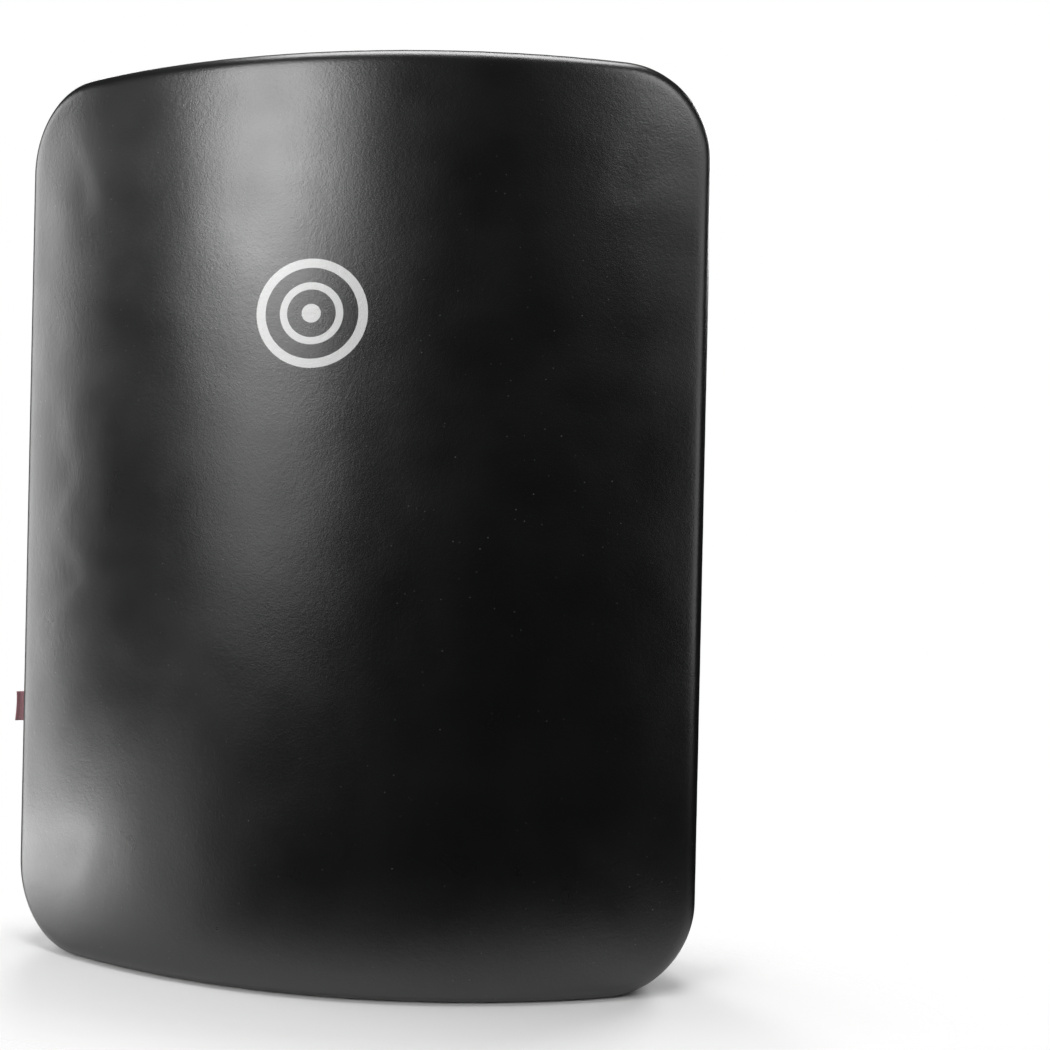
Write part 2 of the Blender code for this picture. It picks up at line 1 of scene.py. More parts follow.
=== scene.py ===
"""Looks of a curved kick shield: vinyl skins over foam, three padded grips, an arm harness.

Metres, +Z up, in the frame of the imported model. The strike face looks along -Y and is bent
about a vertical axis; the grips and the harness are on the hollow +Y side. Left is -X.
"""

from contextlib import contextmanager
from math import asin, atan2, ceil, cos, exp, hypot, pi, radians, sin, tan

import bmesh
import bpy
import numpy as np
from mathutils import Matrix, Vector, noise
from mathutils.geometry import interpolate_bezier


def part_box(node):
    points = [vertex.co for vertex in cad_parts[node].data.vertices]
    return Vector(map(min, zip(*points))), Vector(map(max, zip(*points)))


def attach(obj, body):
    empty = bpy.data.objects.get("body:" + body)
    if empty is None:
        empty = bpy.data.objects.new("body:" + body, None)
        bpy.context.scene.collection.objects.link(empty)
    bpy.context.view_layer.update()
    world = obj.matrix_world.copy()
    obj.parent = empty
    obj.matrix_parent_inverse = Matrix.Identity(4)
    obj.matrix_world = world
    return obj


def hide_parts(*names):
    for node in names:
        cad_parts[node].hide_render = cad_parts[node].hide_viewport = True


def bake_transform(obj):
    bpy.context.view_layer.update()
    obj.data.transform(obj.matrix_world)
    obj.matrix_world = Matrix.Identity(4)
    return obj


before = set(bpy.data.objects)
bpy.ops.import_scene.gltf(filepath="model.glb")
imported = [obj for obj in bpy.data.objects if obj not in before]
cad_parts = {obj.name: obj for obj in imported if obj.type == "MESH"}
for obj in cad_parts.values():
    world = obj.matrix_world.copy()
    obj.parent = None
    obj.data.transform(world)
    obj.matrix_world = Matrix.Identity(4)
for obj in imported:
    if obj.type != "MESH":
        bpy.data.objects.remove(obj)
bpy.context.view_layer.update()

# ---- driving dimensions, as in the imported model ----
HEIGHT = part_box("side_gusset")[1].z
HALF_WIDTH = 0.291          # half of the arc length at mid thickness
THICKNESS = 0.090
R_FRONT = 0.650             # bend radius of the strike face
R_MID = R_FRONT - THICKNESS / 2
R_BACK = R_FRONT - THICKNESS
CORNER = 0.072
FRONT_ROLL, BACK_ROLL = 0.012, 0.020
FRONT_SEAM, BACK_SEAM = 0.0122, 0.0698      # depths of the two seams behind the strike face
VINYL_T = 0.0012
WEB_T = 0.0016
GRIP_WEB_W, ARM_WEB_W = 0.025, 0.038
LAY = 0.0013                # mid thickness of webbing sewn down, above the back panel
PATCH_TOP = 0.0037          # upper side of a patch above the back panel
GRIP_W, GRIP_T = 0.036, 0.022
UPPER_PATCH = (0.107, 0.650, 0.046, 0.050)   # x, z, width, height
MIDDLE_PATCH = (0.193, 0.490, 0.070, 0.044)
TOP_GRIP_Z, TOP_GRIP_HALF, TOP_GRIP_LIFT = 0.662, 0.077, 0.027
SIDE_TOP, SIDE_LOW = (0.120, 0.621), (0.172, 0.508)
SIDE_GRIP_HALF, SIDE_GRIP_LIFT = 0.055, 0.028
SIDE_RIVET_Z = 0.6345
HUB_Z, HARNESS_Y, HUB_R = 0.303, 0.086, 0.051
HUB_GAP = 0.0012            # from the harness plane to the inside of a hub disc
STRAP_START = 0.0315        # where webbing ends inside the hub, from its centre
LOOP_SPACING = 0.0012       # of the stations where webbing turns round a buckle's bar
ARM_DIR = (cos(radians(45.5)), sin(radians(45.5)))
ARM_SLEEVE = (0.072, 0.212)
ARM_W, ARM_T = 0.062, 0.020
ARM_END = 0.248
LOW_ANCHOR = (0.196, 0.137)
MALE_START = 0.066
VENT_DEPTH = 0.031
VENT_Z = (0.095, 0.608)
LABEL_Z, LABEL_H, LABEL_OUT = 0.205, 0.026, 0.016
LABEL_BEND = radians(55)    # the soft tab leans towards the strike face
PRINT_ARC, PRINT_Z = -0.012, 0.540           # centre of the printed ring on the strike face
SIDES = ((-1, "left"), (1, "right"))
VENTS = [(side, z, f"{where}_{level}") for side, where in SIDES
         for z, level in zip(VENT_Z, ("lower", "upper"))]
SKIN_GRID = 0.0075          # spacing of the cushion skins' points before they are refined
MM = 0.001

UP = Vector((0.0, 0.0, 1.0))
TO_USER = Vector((0.0, 1.0, 0.0))


# ---- placing ----
def angle_at(x):
    return asin(x / R_BACK)


def polar(a, r, z):
    """Point at an angle and a distance from the vertical axis of the bend."""
    return Vector((r * sin(a), R_MID - r * cos(a), z))


def on_back(x, z, lift):
    """Point above the back panel, lift metres towards the user."""
    return polar(angle_at(x), R_BACK - lift, z)


def back_normal(x):
    a = angle_at(x)
    return Vector((-sin(a), cos(a), 0.0))


def bend(flat):
    """Wraps flat layout points (arc at mid thickness, depth from the strike face, height)."""
    a = flat[:, 0] / R_MID
    r = R_FRONT - flat[:, 1]
    return np.stack([r * np.sin(a), R_MID - r * np.cos(a), flat[:, 2]], axis=1)


def frame_at(origin, along, normal):
    """Matrix whose local X runs along, local Z is the normal, local Y the width."""
    x = along.normalized()
    z = (normal - normal.dot(x) * x).normalized()
    y = z.cross(x)
    return Matrix.Translation(origin) @ Matrix((x, y, z)).transposed().to_4x4()


def full_turn(count):
    """Evenly spaced angles once round, the first of them 0."""
    return [2 * pi * k / count for k in range(count)]


def step(x, low, high):
    """0 up to low, 1 from high on, and smooth between them."""
    t = np.clip((np.asarray(x, float) - low) / (high - low), 0.0, 1.0)
    return t * t * (3 - 2 * t)


def cloud(points, size, seed=0.0):
    """Smooth noise from about -1 to 1 whose features are about size metres across."""
    shift = Vector((seed, -seed, 2 * seed))
    return np.array([noise.noise(Vector(p) / size + shift) for p in points])


# ---- meshes ----
def add_object(name, data):
    obj = bpy.data.objects.new(name, data)
    bpy.context.scene.collection.objects.link(obj)
    return obj


def add_mesh(name, points, faces, lay=None):
    """A smooth mesh; its attribute lay holds where each point lies on the uncut material."""
    mesh = bpy.data.meshes.new(name)
    mesh.from_pydata([tuple(map(float, p)) for p in points], [],
                     [tuple(map(int, f)) for f in faces])
    put_lay(mesh, points if lay is None else lay)
    mesh.shade_smooth()
    return add_object(name, mesh)


def put_lay(mesh, lay):
    attribute = mesh.attributes.get("lay") or mesh.attributes.new("lay", "FLOAT_VECTOR", "POINT")
    flat = np.array([tuple(p) for p in lay], np.float32)
    attribute.data.foreach_set("vector", flat.ravel())


def read(mesh, what="co"):
    data = mesh.vertices if what == "co" else mesh.attributes[what].data
    values = np.zeros(3 * len(mesh.vertices), np.float32)
    data.foreach_get("co" if what == "co" else "vector", values)
    return values.reshape(-1, 3).astype(float)


def normals_of(mesh):
    values = np.zeros(3 * len(mesh.vertices), np.float32)
    mesh.vertex_normals.foreach_get("vector", values)
    return values.reshape(-1, 3).astype(float)


def write(mesh, points):
    mesh.vertices.foreach_set("co", np.asarray(points, np.float32).ravel())
    mesh.update()


@contextmanager
def editing(obj):
    """The object's mesh as a bmesh, written back when the block ends."""
    bm = bmesh.new()
    bm.from_mesh(obj.data)
    yield bm
    bm.to_mesh(obj.data)
    bm.free()


def discard(obj):
    mesh = obj.data
    bpy.data.objects.remove(obj)
    bpy.data.meshes.remove(mesh)


def face_outward(obj, outward=None):
    """Makes the faces agree, and turns them all if they look against the outward direction."""
    with editing(obj) as bm:
        bmesh.ops.recalc_face_normals(bm, faces=bm.faces)
        total = sum((f.normal * f.calc_area() for f in bm.faces), Vector())
        if outward is not None and total.dot(Vector(outward)) < 0:
            bmesh.ops.reverse_faces(bm, faces=bm.faces)
    return obj


def applied(obj):
    """Replaces the mesh by what the modifiers make of it."""
    made = bpy.data.meshes.new_from_object(
        obj.evaluated_get(bpy.context.evaluated_depsgraph_get()))
    obj.modifiers.clear()
    old = obj.data
    obj.data = made
    bpy.data.meshes.remove(old)
    return obj


def modified(obj, name, kind, **settings):
    mod = obj.modifiers.new(name, kind)
    for key, value in settings.items():
        setattr(mod, key, value)
    return obj


def refine(obj):
    return applied(modified(obj, "Fine", "SUBSURF", levels=1, render_levels=1))


def thicken(obj, thickness, offset=-1.0):
    return modified(obj, "Thickness", "SOLIDIFY", thickness=thickness, offset=offset)


def soften(obj, width):
    return modified(obj, "Edges", "BEVEL", width=width, segments=2, limit_method="ANGLE",
                    angle_limit=radians(35), harden_normals=True)


def block(size, centre, radius, axis, segments=4):
    """Box in a bmesh with the edges along one axis rounded."""
    bm = bmesh.new()
    bmesh.ops.create_cube(bm, size=1.0)
    bmesh.ops.scale(bm, vec=size, verts=bm.verts)
    edges = [e for e in bm.edges
             if abs((e.verts[0].co - e.verts[1].co).normalized()[axis]) > 0.99]
    bmesh.ops.bevel(bm, geom=edges, offset=radius, offset_type="OFFSET", segments=segments,
                    profile=0.5, affect="EDGES", clamp_overlap=True)
    bmesh.ops.translate(bm, vec=centre, verts=bm.verts)
    return bm


def from_bmesh(name, bm, place=None):
    if place is not None:
        bmesh.ops.transform(bm, matrix=place, verts=bm.verts)
    bmesh.ops.recalc_face_normals(bm, faces=bm.faces)
    mesh = bpy.data.meshes.new(name)
    bm.to_mesh(mesh)
    bm.free()
    put_lay(mesh, [v.co for v in mesh.vertices])
    return add_object(name, mesh)


def combine(obj, other, operation="DIFFERENCE"):
    """Applies a Boolean with other, which is then removed."""
    applied(modified(obj, "Boolean", "BOOLEAN", operation=operation, solver="EXACT",
                     object=other))
    bpy.data.objects.remove(other)
    return obj


def tube_faces(rows, count, closed=True, capped=False, first=0):
    """Quads between rows of count points, numbered from first, and caps on the end rows."""
    faces = []
    for j in range(first, first + (rows - 1) * count, count):
        for i in range(count if closed else count - 1):
            k = (i + 1) % count
            faces.append((j + i, j + k, j + count + k, j + count + i))
    if capped:
        end = first + rows * count
        faces += [tuple(reversed(range(first, first + count))), tuple(range(end - count, end))]
    return faces


def loops_mesh(name, rings, closed=True, capped=False, lay=None):
    """Skins a list of equally long rings of points."""
    faces = tube_faces(len(rings), len(rings[0]), closed, capped)
    points = [p for ring in rings for p in ring]
    flat = None if lay is None else [p for ring in lay for p in ring]
    return face_outward(add_mesh(name, points, faces, flat))


def lathe(name, profile, place, steps=48):
    """Turns a closed (radius, height) outline about local Z; radii of 0 meet on the axis."""
    rings = [[place @ Vector((r * cos(a), r * sin(a), h)) for r, h in profile]
             for a in full_turn(steps)]
    return welded(loops_mesh(name, rings + [rings[0]]))


def welded(obj):
    """Joins coincident points and drops the faces that this empties."""
    with editing(obj) as bm:
        bmesh.ops.remove_doubles(bm, verts=bm.verts, dist=1e-6)
        bmesh.ops.dissolve_degenerate(bm, edges=bm.edges, dist=1e-7)
        bmesh.ops.recalc_face_normals(bm, faces=bm.faces)
    return sharp_edged(obj)


def sharp_edged(obj):
    """Smooth shading that keeps edges of more than 50 degrees sharp."""
    obj.data.shade_smooth()
    obj.data.set_sharp_from_angle(angle=radians(50))
    return obj


def path_through(points, spacing):
    """Smooth polyline through points, with steps of about spacing metres."""
    pts = [Vector(p) for p in points]
    ends = [2 * pts[0] - pts[1]] + pts + [2 * pts[-1] - pts[-2]]
    line = []
    for a, b, c, d in zip(ends, ends[1:], ends[2:], ends[3:]):
        count = max(2, ceil((c - b).length / spacing))
        for k in range(count):
            t = k / count
            line.append(0.5 * (2 * b + (c - a) * t + (2 * a - 5 * b + 4 * c - d) * t * t
                               + (3 * b - a - 3 * c + d) * t ** 3))
    return line + [pts[-1]]


def stations_along(points, normals, spacing):
    """Stations (point, tangent, across, normal, distance) of a band laid through points."""
    facing = []
    for k, (a, b) in enumerate(zip(points, points[1:])):
        count = max(2, ceil((b - a).length / spacing))
        facing += [normals[k].lerp(normals[k + 1], j / count) for j in range(count)]
    facing.append(normals[-1])
    return stations_on(path_through(points, spacing),
                       lambda k, tangent: tangent.cross(facing[k]).normalized())


def stations_on(line, across_at):
    """Stations along a polyline; across_at(index, tangent) gives the band's width direction."""
    stations, distance = [], 0.0
    for k, point in enumerate(line):
        tangent = (line[min(k + 1, len(line) - 1)] - line[max(k - 1, 0)]).normalized()
        across = across_at(k, tangent)
        if k:
            distance += (point - line[k - 1]).length
        stations.append((point, tangent, across, across.cross(tangent).normalized(), distance))
    return stations


def flat_route(place, route, spacing):
    """Stations through (x, z) points of a frame, on a band whose width keeps its local Y."""
    across = place.to_3x3() @ Vector((0.0, 1.0, 0.0))
    return stations_on(path_through([place @ Vector((x, 0.0, z)) for x, z in route], spacing),
                       lambda k, tangent: across)


def webbing(name, stations, width, body, node):
    """Woven band: a flat section with rounded selvedges swept through the stations."""
    columns, half, t = 8, width / 2, WEB_T / 2
    flat = [(-1 + 2 * k / columns) * (half - t) for k in range(columns + 1)]
    section = ([(v, t) for v in flat] + [(half - 0.3 * t, 0.7 * t), (half, 0.0),
                                         (half - 0.3 * t, -0.7 * t)]
               + [(v, -t) for v in reversed(flat)]
               + [(-half + 0.3 * t, -0.7 * t), (-half, 0.0), (-half + 0.3 * t, 0.7 * t)])
    rings, lay = [], []
    for point, _, across, normal, distance in stations:
        rings.append([point + across * v + normal * w for v, w in section])
        lay.append([(distance, v, w) for v, w in section])
    band = loops_mesh(name, rings, capped=True, lay=lay)
    return finish(band, WEBBING, "webbing", body, node)


# ---- stitching ----
def sew(name, runs, thread):
    """Lockstitches as short arched threads; each run is one stitch's (start, end, normal)."""
    sides, points, faces, lay = 5, [], [], []
    arch = ((0.0, -0.5), (0.2, 0.55), (0.5, 0.85), (0.8, 0.55), (1.0, -0.5))
    for start, end, normal in runs:
        along = (end - start).normalized()
        across = along.cross(normal).normalized()
        first = len(points)
        for t, height in arch:
            middle = start.lerp(end, t) + normal * (thread * height)
            radius = thread * (0.75 if t in (0.0, 1.0) else 1.0)
            for a in full_turn(sides):
                points.append(middle + (across * cos(a) + normal * sin(a)) * radius)
                lay.append((t * (end - start).length, radius * a, 0.0))
        faces += tube_faces(len(arch), sides, capped=True, first=first)
    return face_outward(add_mesh(name, points, faces, lay))


def along_line(corners, pitch=0.0034, gap=0.0009):
    """Splits a polyline of 2D corners into stitches, as (start, end) pairs."""
    made = []
    for (x0, y0), (x1, y1) in zip(corners, corners[1:]):
        length = hypot(x1 - x0, y1 - y0)
        count = max(1, round(length / pitch))
        for k in range(count):
            a, b = k / count, (k + 1) / count - gap / length
            made.append(((x0 + (x1 - x0) * a, y0 + (y1 - y0) * a),
                         (x0 + (x1 - x0) * b, y0 + (y1 - y0) * b)))
    return made


def box_cross(half_u, half_v, centre=(0.0, 0.0), rows=(0.0,)):
    """Box with a cross in it, the usual stitch that holds a webbing end, in parallel rows."""
    made = []
    for row in rows:
        u, v = half_u - row, half_v - row
        a, b, c, d = [(centre[0] + i * u, centre[1] + j * v)
                      for i, j in ((-1, -1), (1, -1), (1, 1), (-1, 1))]
        made += along_line([a, b, c, d, a])
        for (x0, y0), (x1, y1) in ((a, c), (b, d)):
            side = row / hypot(x1 - x0, y1 - y0)
            shift = ((y0 - y1) * side, (x1 - x0) * side)
            made += along_line([(x0 + shift[0], y0 + shift[1]), (x1 + shift[0], y1 + shift[1])])
    return made


def round_seam(count):
    """Angles where the stitches of a round seam begin and end."""
    return [(2 * pi * k / count, 2 * pi * (k + 0.72) / count) for k in range(count)]


def stitch(name, spot, pairs, mat, slot, body="cushion", thread=0.00032):
    """Sews 2D stitches, given as (start, end) pairs; spot(u, v) is a point and its normal."""
    runs = []
    for start, end in pairs:
        (p, n), (q, m) = spot(*start), spot(*end)
        runs.append((p, q, (n + m).normalized()))
    finish(sew(name, runs, thread), mat, slot, body)


def on_band(stations, lift=WEB_T / 2):
    """spot(distance, across) on the upper side of a band."""
    marks = [s[4] for s in stations]

    def spot(distance, v):
        k = int(np.clip(np.searchsorted(marks, distance) - 1, 0, len(marks) - 2))
        t = (distance - marks[k]) / max(marks[k + 1] - marks[k], 1e-9)
        a, b = stations[k], stations[k + 1]
        across, normal = a[2].lerp(b[2], t), a[3].lerp(b[3], t)
        return a[0].lerp(b[0], t) + across * v + normal * lift, normal
    return spot


# ---- materials ----
class Finish:
    """A Principled material whose nodes read a piece's lay attribute, or a CAD node's own space."""

    def __init__(self, name, colour, roughness, metallic=0.0, space="lay"):
        self.mat = bpy.data.materials.new(name)
        self.mat.use_nodes = True
        self.nodes = self.mat.node_tree.nodes
        self.shader = self.nodes["Principled BSDF"]
        self.put("Base Color", (*colour, 1.0))
        self.put("Roughness", roughness)
        self.put("Metallic", metallic)
        if space == "lay":
            source = self.add("ShaderNodeAttribute", attribute_name="lay")
            self.space = source.outputs["Vector"]
        else:
            self.space = self.add("ShaderNodeTexCoord").outputs["Object"]

    def put(self, name, value):
        self.feed(self.shader.inputs[name], value)

    def feed(self, socket, value):
        if isinstance(value, bpy.types.NodeSocket):
            self.mat.node_tree.links.new(value, socket)
        else:
            socket.default_value = value

    def add(self, kind, inputs=(), **settings):
        node = self.nodes.new(kind)
        for key, value in settings.items():
            setattr(node, key, value)
        for key, value in dict(inputs).items():
            self.feed(node.inputs[key], value)
        return node

    def noise(self, size, detail=2.0, roughness=0.5):
        """Noise from 0 to 1 with features about size metres across."""
        return self.add("ShaderNodeTexNoise", {"Vector": self.space, "Scale": 1 / size,
                                               "Detail": detail,
                                               "Roughness": roughness}).outputs["Fac"]

    def cells(self, size, output="Distance", feature="F1"):
        return self.add("ShaderNodeTexVoronoi", {"Vector": self.space, "Scale": 1 / size},
                        feature=feature).outputs[output]

    def scaled(self, factors):
        return self.add("ShaderNodeVectorMath", {0: self.space, 1: factors},
                        operation="MULTIPLY").outputs[0]

    def axis(self, name, space=None):
        return self.add("ShaderNodeSeparateXYZ", {0: space or self.space}).outputs[name]

    def math(self, operation, a, b=0.0, c=0.0):
        return self.add("ShaderNodeMath", {0: a, 1: b, 2: c}, operation=operation).outputs[0]

    def remap(self, value, low, high, to_low=0.0, to_high=1.0):
        return self.add("ShaderNodeMapRange",
                        {"Value": value, "From Min": low, "From Max": high,
                         "To Min": to_low, "To Max": to_high},
                        interpolation_type="SMOOTHSTEP").outputs[0]

    def blend(self, factor, a, b):
        """Mix of two colours, each given as three numbers or a socket."""
        node = self.add("ShaderNodeMix", data_type="RGBA")
        self.feed(node.inputs[0], factor)
        for slot, value in ((6, a), (7, b)):
            colour = isinstance(value, bpy.types.NodeSocket)
            self.feed(node.inputs[slot], value if colour else (*value, 1.0))
        return node.outputs[2]

    def relief(self, *layers):
        """Stacks bumps. A layer is (height from 0 to 1, its depth in metres)."""
        normal = None
        for height, depth in layers:
            inputs = {"Height": height, "Distance": depth, "Strength": 1.0}
            if normal is not None:
                inputs["Normal"] = normal
            normal = self.add("ShaderNodeBump", inputs).outputs[0]
        self.put("Normal", normal)


VINYL_IOR = 1.75            # the lacquer on the vinyl is glossier than plain PVC
DUST, INK = (0.16, 0.17, 0.165), (0.93, 0.94, 0.93)
PRINT_RINGS = ((0.0355, 0.0430), (0.0185, 0.0245), (-0.010, 0.0075))   # inner, outer radius


def vinyl(name, dark, light, roughness, grain=0.0011, depth=0.00009, cloudy=0.05, dust=0.0):
    """Coated cloth: pebbled grain, slow clouds of colour and gloss, rubbed patches and dust."""
    f = Finish(name, dark, roughness)
    slow = f.noise(0.085, 4.0, 0.55)
    tone = f.blend(f.remap(slow, 0.15, 0.85), dark, light)
    if dust:
        spot = f.cells(0.0065)
        lit = f.axis("X", f.cells(0.0065, "Color"))
        size = f.remap(spot, 0.060, 0.110, 1.0, 0.0)
        patchy = f.remap(f.noise(0.16, 3.0), 0.34, 0.62, 0.15, 1.0)
        speck = f.math("MULTIPLY", f.math("MULTIPLY", size, f.remap(lit, 0.30, 0.95)), patchy)
        tone = f.blend(f.math("MULTIPLY", speck, dust), tone, DUST)
    f.tone = tone
    f.put("Base Color", tone)
    f.put("IOR", VINYL_IOR)
    gloss = f.remap(f.noise(0.07, 2.5, 0.5), 0.15, 0.85, roughness - cloudy, roughness + cloudy)
    f.put("Roughness", gloss)
    pebbles = f.cells(grain, feature="SMOOTH_F1")
    creases = f.noise(0.0045, 4.0, 0.6)
    f.relief((creases, 2.2 * depth), (pebbles, depth))
    return f


def front_vinyl():
    """Strike face vinyl with dust and a plain printed target, slightly worn."""
    f = vinyl("vinyl_front", (0.0020, 0.0021, 0.0023), (0.0040, 0.0042, 0.0044), 0.30,
              depth=0.00005, cloudy=0.04, dust=0.55)
    x = f.math("SUBTRACT", f.axis("X"), PRINT_ARC)
    z = f.math("SUBTRACT", f.axis("Z"), PRINT_Z)
    radius = f.math("SQRT", f.math("ADD", f.math("MULTIPLY", x, x), f.math("MULTIPLY", z, z)))
    ink = None
    for inner, outer in PRINT_RINGS:
        band = f.math("MULTIPLY", f.remap(radius, inner, inner + 0.0003),
                      f.remap(radius, outer - 0.0003, outer, 1.0, 0.0))
        ink = band if ink is None else f.math("MAXIMUM", ink, band)
    worn = f.remap(f.noise(0.0016, 3.0), 0.22, 0.30)
    on_face = f.remap(f.axis("Y"), 0.001, 0.002, 1.0, 0.0)
    ink = f.math("MULTIPLY", f.math("MULTIPLY", ink, worn), on_face)
    f.put("Base Color", f.blend(ink, f.tone, INK))
    return f.mat


def woven(name, dark, light, pitch, depth, roughness=0.9, rib=False, sheen=0.10):
    """Plain weave: warp along lay X, weft along lay Y. The colour is darker where the yarns sink,
    painted shade between the raised crossings, mixed with random patches of real tone.
    """
    f = Finish(name, dark, roughness)

    def yarns(direction, apart):
        return f.add("ShaderNodeTexWave", {"Vector": f.space, "Scale": 2 * pi / 20 / apart,
                                           "Distortion": 0.6, "Detail": 1.0}, wave_type="BANDS",
                     wave_profile="SIN", bands_direction=direction).outputs["Fac"]
    warp, weft = yarns("X", pitch), yarns("Y", pitch * 0.8)
    cross = f.math("MULTIPLY", warp, weft)
    if rib:
        cross = f.math("ADD", f.math("MULTIPLY", warp, 0.65), f.math("MULTIPLY", weft, 0.35))
    fuzz = f.noise(0.0007, 3.0, 0.7)
    patch = f.noise(0.030, 3.0)
    # tone: painted shade in the low gaps between raised yarns, plus random patches of real tone
    tone = f.math("ADD", f.math("MULTIPLY", cross, 0.6), f.math("MULTIPLY", patch, 0.5))
    f.put("Base Color", f.blend(f.remap(tone, 0.2, 0.9), dark, light))
    f.put("Roughness", f.remap(patch, 0.3, 0.7, roughness - 0.07, min(1.0, roughness + 0.05)))
    f.put("Sheen Weight", sheen)
    f.put("Sheen Roughness", 0.45)
    f.relief((fuzz, depth * 0.6), (cross, depth))
    return f.mat


def foam_finish():
    f = Finish("foam", (0.30, 0.30, 0.31), 0.95)
    pores = f.cells(0.0016)
    # the pores are coloured darker than the cell walls around them: painted shade in the pits
    f.put("Base Color", f.blend(f.remap(pores, 0.1, 0.6), (0.20, 0.20, 0.21), (0.36, 0.36, 0.37)))
    f.relief((pores, 0.0003))
    return f.mat


def plastic(space="lay"):
    """Moulded acetal with a fine spark-eroded texture and handling marks."""
    f = Finish(f"buckle_plastic_{space}", (0.030, 0.031, 0.033), 0.36, space=space)
    fine = f.noise(0.0005, 2.0)
    marks = f.noise(0.0035, 6.0, 0.7)
    f.put("Base Color", f.blend(f.remap(marks, 0.30, 0.80), (0.042, 0.043, 0.045),
                                (0.056, 0.057, 0.060)))
    f.put("Roughness", f.remap(marks, 0.3, 0.7, 0.30, 0.42))
    f.relief((fine, 0.00003))
    return f.mat


def nickel(space="lay"):
    """Plated steel with hairline scratches and a slightly dulled surface."""
    f = Finish(f"nickel_{space}", (0.74, 0.74, 0.75), 0.22, 1.0, space=space)
    dull = f.noise(0.0022, 4.0, 0.6)
    f.put("Base Color", f.blend(f.remap(dull, 0.3, 0.75), (0.80, 0.80, 0.81),
                                (0.58, 0.58, 0.60)))
    f.put("Roughness", f.remap(dull, 0.3, 0.7, 0.16, 0.34))
    f.relief((f.noise(0.0004, 2.0), 0.00001))
    return f.mat


def thread(name, colour):
    """Twisted sewing thread; the grooves of the twist are coloured darker, painted shade."""
    f = Finish(name, colour, 0.75)
    twist = f.add("ShaderNodeTexWave", {"Vector": f.scaled((1.0, 1.6, 1.0)), "Scale": 320.0},
                  bands_direction="DIAGONAL").outputs["Fac"]
    # the twist's grooves get 0.6 of the thread colour: painted shade
    f.put("Base Color", f.blend(twist, tuple(0.6 * c for c in colour), colour))
    f.relief((twist, 0.00006))
    return f.mat


VINYL_FRONT = front_vinyl()
VINYL_SIDE = vinyl("vinyl_side", (0.015, 0.0155, 0.016), (0.022, 0.0225, 0.0235), 0.42,
                   depth=0.00009).mat
VINYL_BACK = vinyl("vinyl_back", (0.012, 0.0125, 0.013), (0.021, 0.0215, 0.0225), 0.36,
                   depth=0.00009).mat
VINYL_GRIP = vinyl("vinyl_grip", (0.006, 0.006, 0.0065), (0.011, 0.011, 0.012), 0.22,
                   grain=0.0009, depth=0.00007, cloudy=0.06).mat
VINYL_PATCH = vinyl("vinyl_patch", (0.007, 0.007, 0.0075), (0.013, 0.013, 0.014), 0.23,
                    grain=0.0009, depth=0.00010, cloudy=0.07).mat
HUB_VINYL = vinyl("vinyl_hub", (0.008, 0.008, 0.0085), (0.014, 0.014, 0.015), 0.42,
                  depth=0.00010).mat
WEBBING = woven("webbing", (0.0020, 0.0020, 0.0023), (0.0085, 0.0085, 0.0092), 0.0013, 0.00022,
                0.72, rib=True, sheen=0.02)
ARM_CLOTH = woven("arm_fabric", (0.0055, 0.0057, 0.0062), (0.015, 0.0155, 0.0165), 0.0009, 0.00016,
                  0.90, sheen=0.05)
LABEL_CLOTH = woven("label_cloth", (0.38, 0.18, 0.20), (0.58, 0.34, 0.37), 0.0005, 0.00008, 0.9)
FOAM = foam_finish()
PLASTIC, CAD_PLASTIC = plastic(), plastic("object")
NICKEL, CAD_NICKEL = nickel(), nickel("object")
BLACK_THREAD = thread("thread_black", (0.030, 0.030, 0.032))
GREY_THREAD = thread("thread_grey", (0.34, 0.34, 0.35))


def repaint(obj, mat):
    obj.data.materials.clear()
    obj.data.materials.append(mat)


def finish(obj, mat, slot, body, *nodes, fill=None):
    """Gives a piece its material and body, and hides the nodes it stands for. The slot is not used.
    """
    repaint(obj, mat)
    if body:
        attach(obj, body)
    if nodes:
        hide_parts(*nodes)
    return obj


# ---- cloth ----
def settle(points, faces, pinned, pressure, grow, bending, frames=20):
    """Relaxes a surface with Blender's cloth and returns how far each point moved.

    The cloth is cut a little too large (grow), so that it buckles into soft folds, and the
    pressure keeps it off the foam."""
    obj = face_outward(add_mesh("cloth_cut", points, faces))
    group = obj.vertex_groups.new(name="sewn")
    group.add([int(i) for i in np.nonzero(pinned)[0]], 1.0, "REPLACE")
    mod = obj.modifiers.new("Cloth", "CLOTH")
    cloth = mod.settings
    cloth.quality = 6
    cloth.mass = 0.3
    cloth.tension_stiffness = cloth.compression_stiffness = 18.0
    cloth.shear_stiffness = 8.0
    cloth.bending_stiffness = bending
    cloth.air_damping = 3.0
    cloth.vertex_group_mass = "sewn"
    cloth.shrink_min = -grow
    cloth.use_pressure = True
    cloth.uniform_pressure_force = pressure
    cloth.effector_weights.gravity = 0.0
    mod.collision_settings.use_collision = False
    mod.point_cache.frame_start, mod.point_cache.frame_end = 1, frames
    for k in range(1, frames + 1):
        bpy.context.scene.frame_set(k)
    moved = read(applied(obj).data) - np.asarray(points, float)
    discard(obj)
    bpy.context.scene.frame_set(1)
    return moved


# ---- cushion skins ----
def cuts(half, corner, spacing):
    """Grid lines from -half to half that include where the corner blocks begin."""
    inner = half - corner
    middle = np.linspace(-inner, inner, 2 * max(1, round(inner / spacing)) + 1)
    edge = np.linspace(inner, half, max(3, round(corner / spacing)) + 1)[1:]
    return np.concatenate([-edge[::-1], middle, edge])


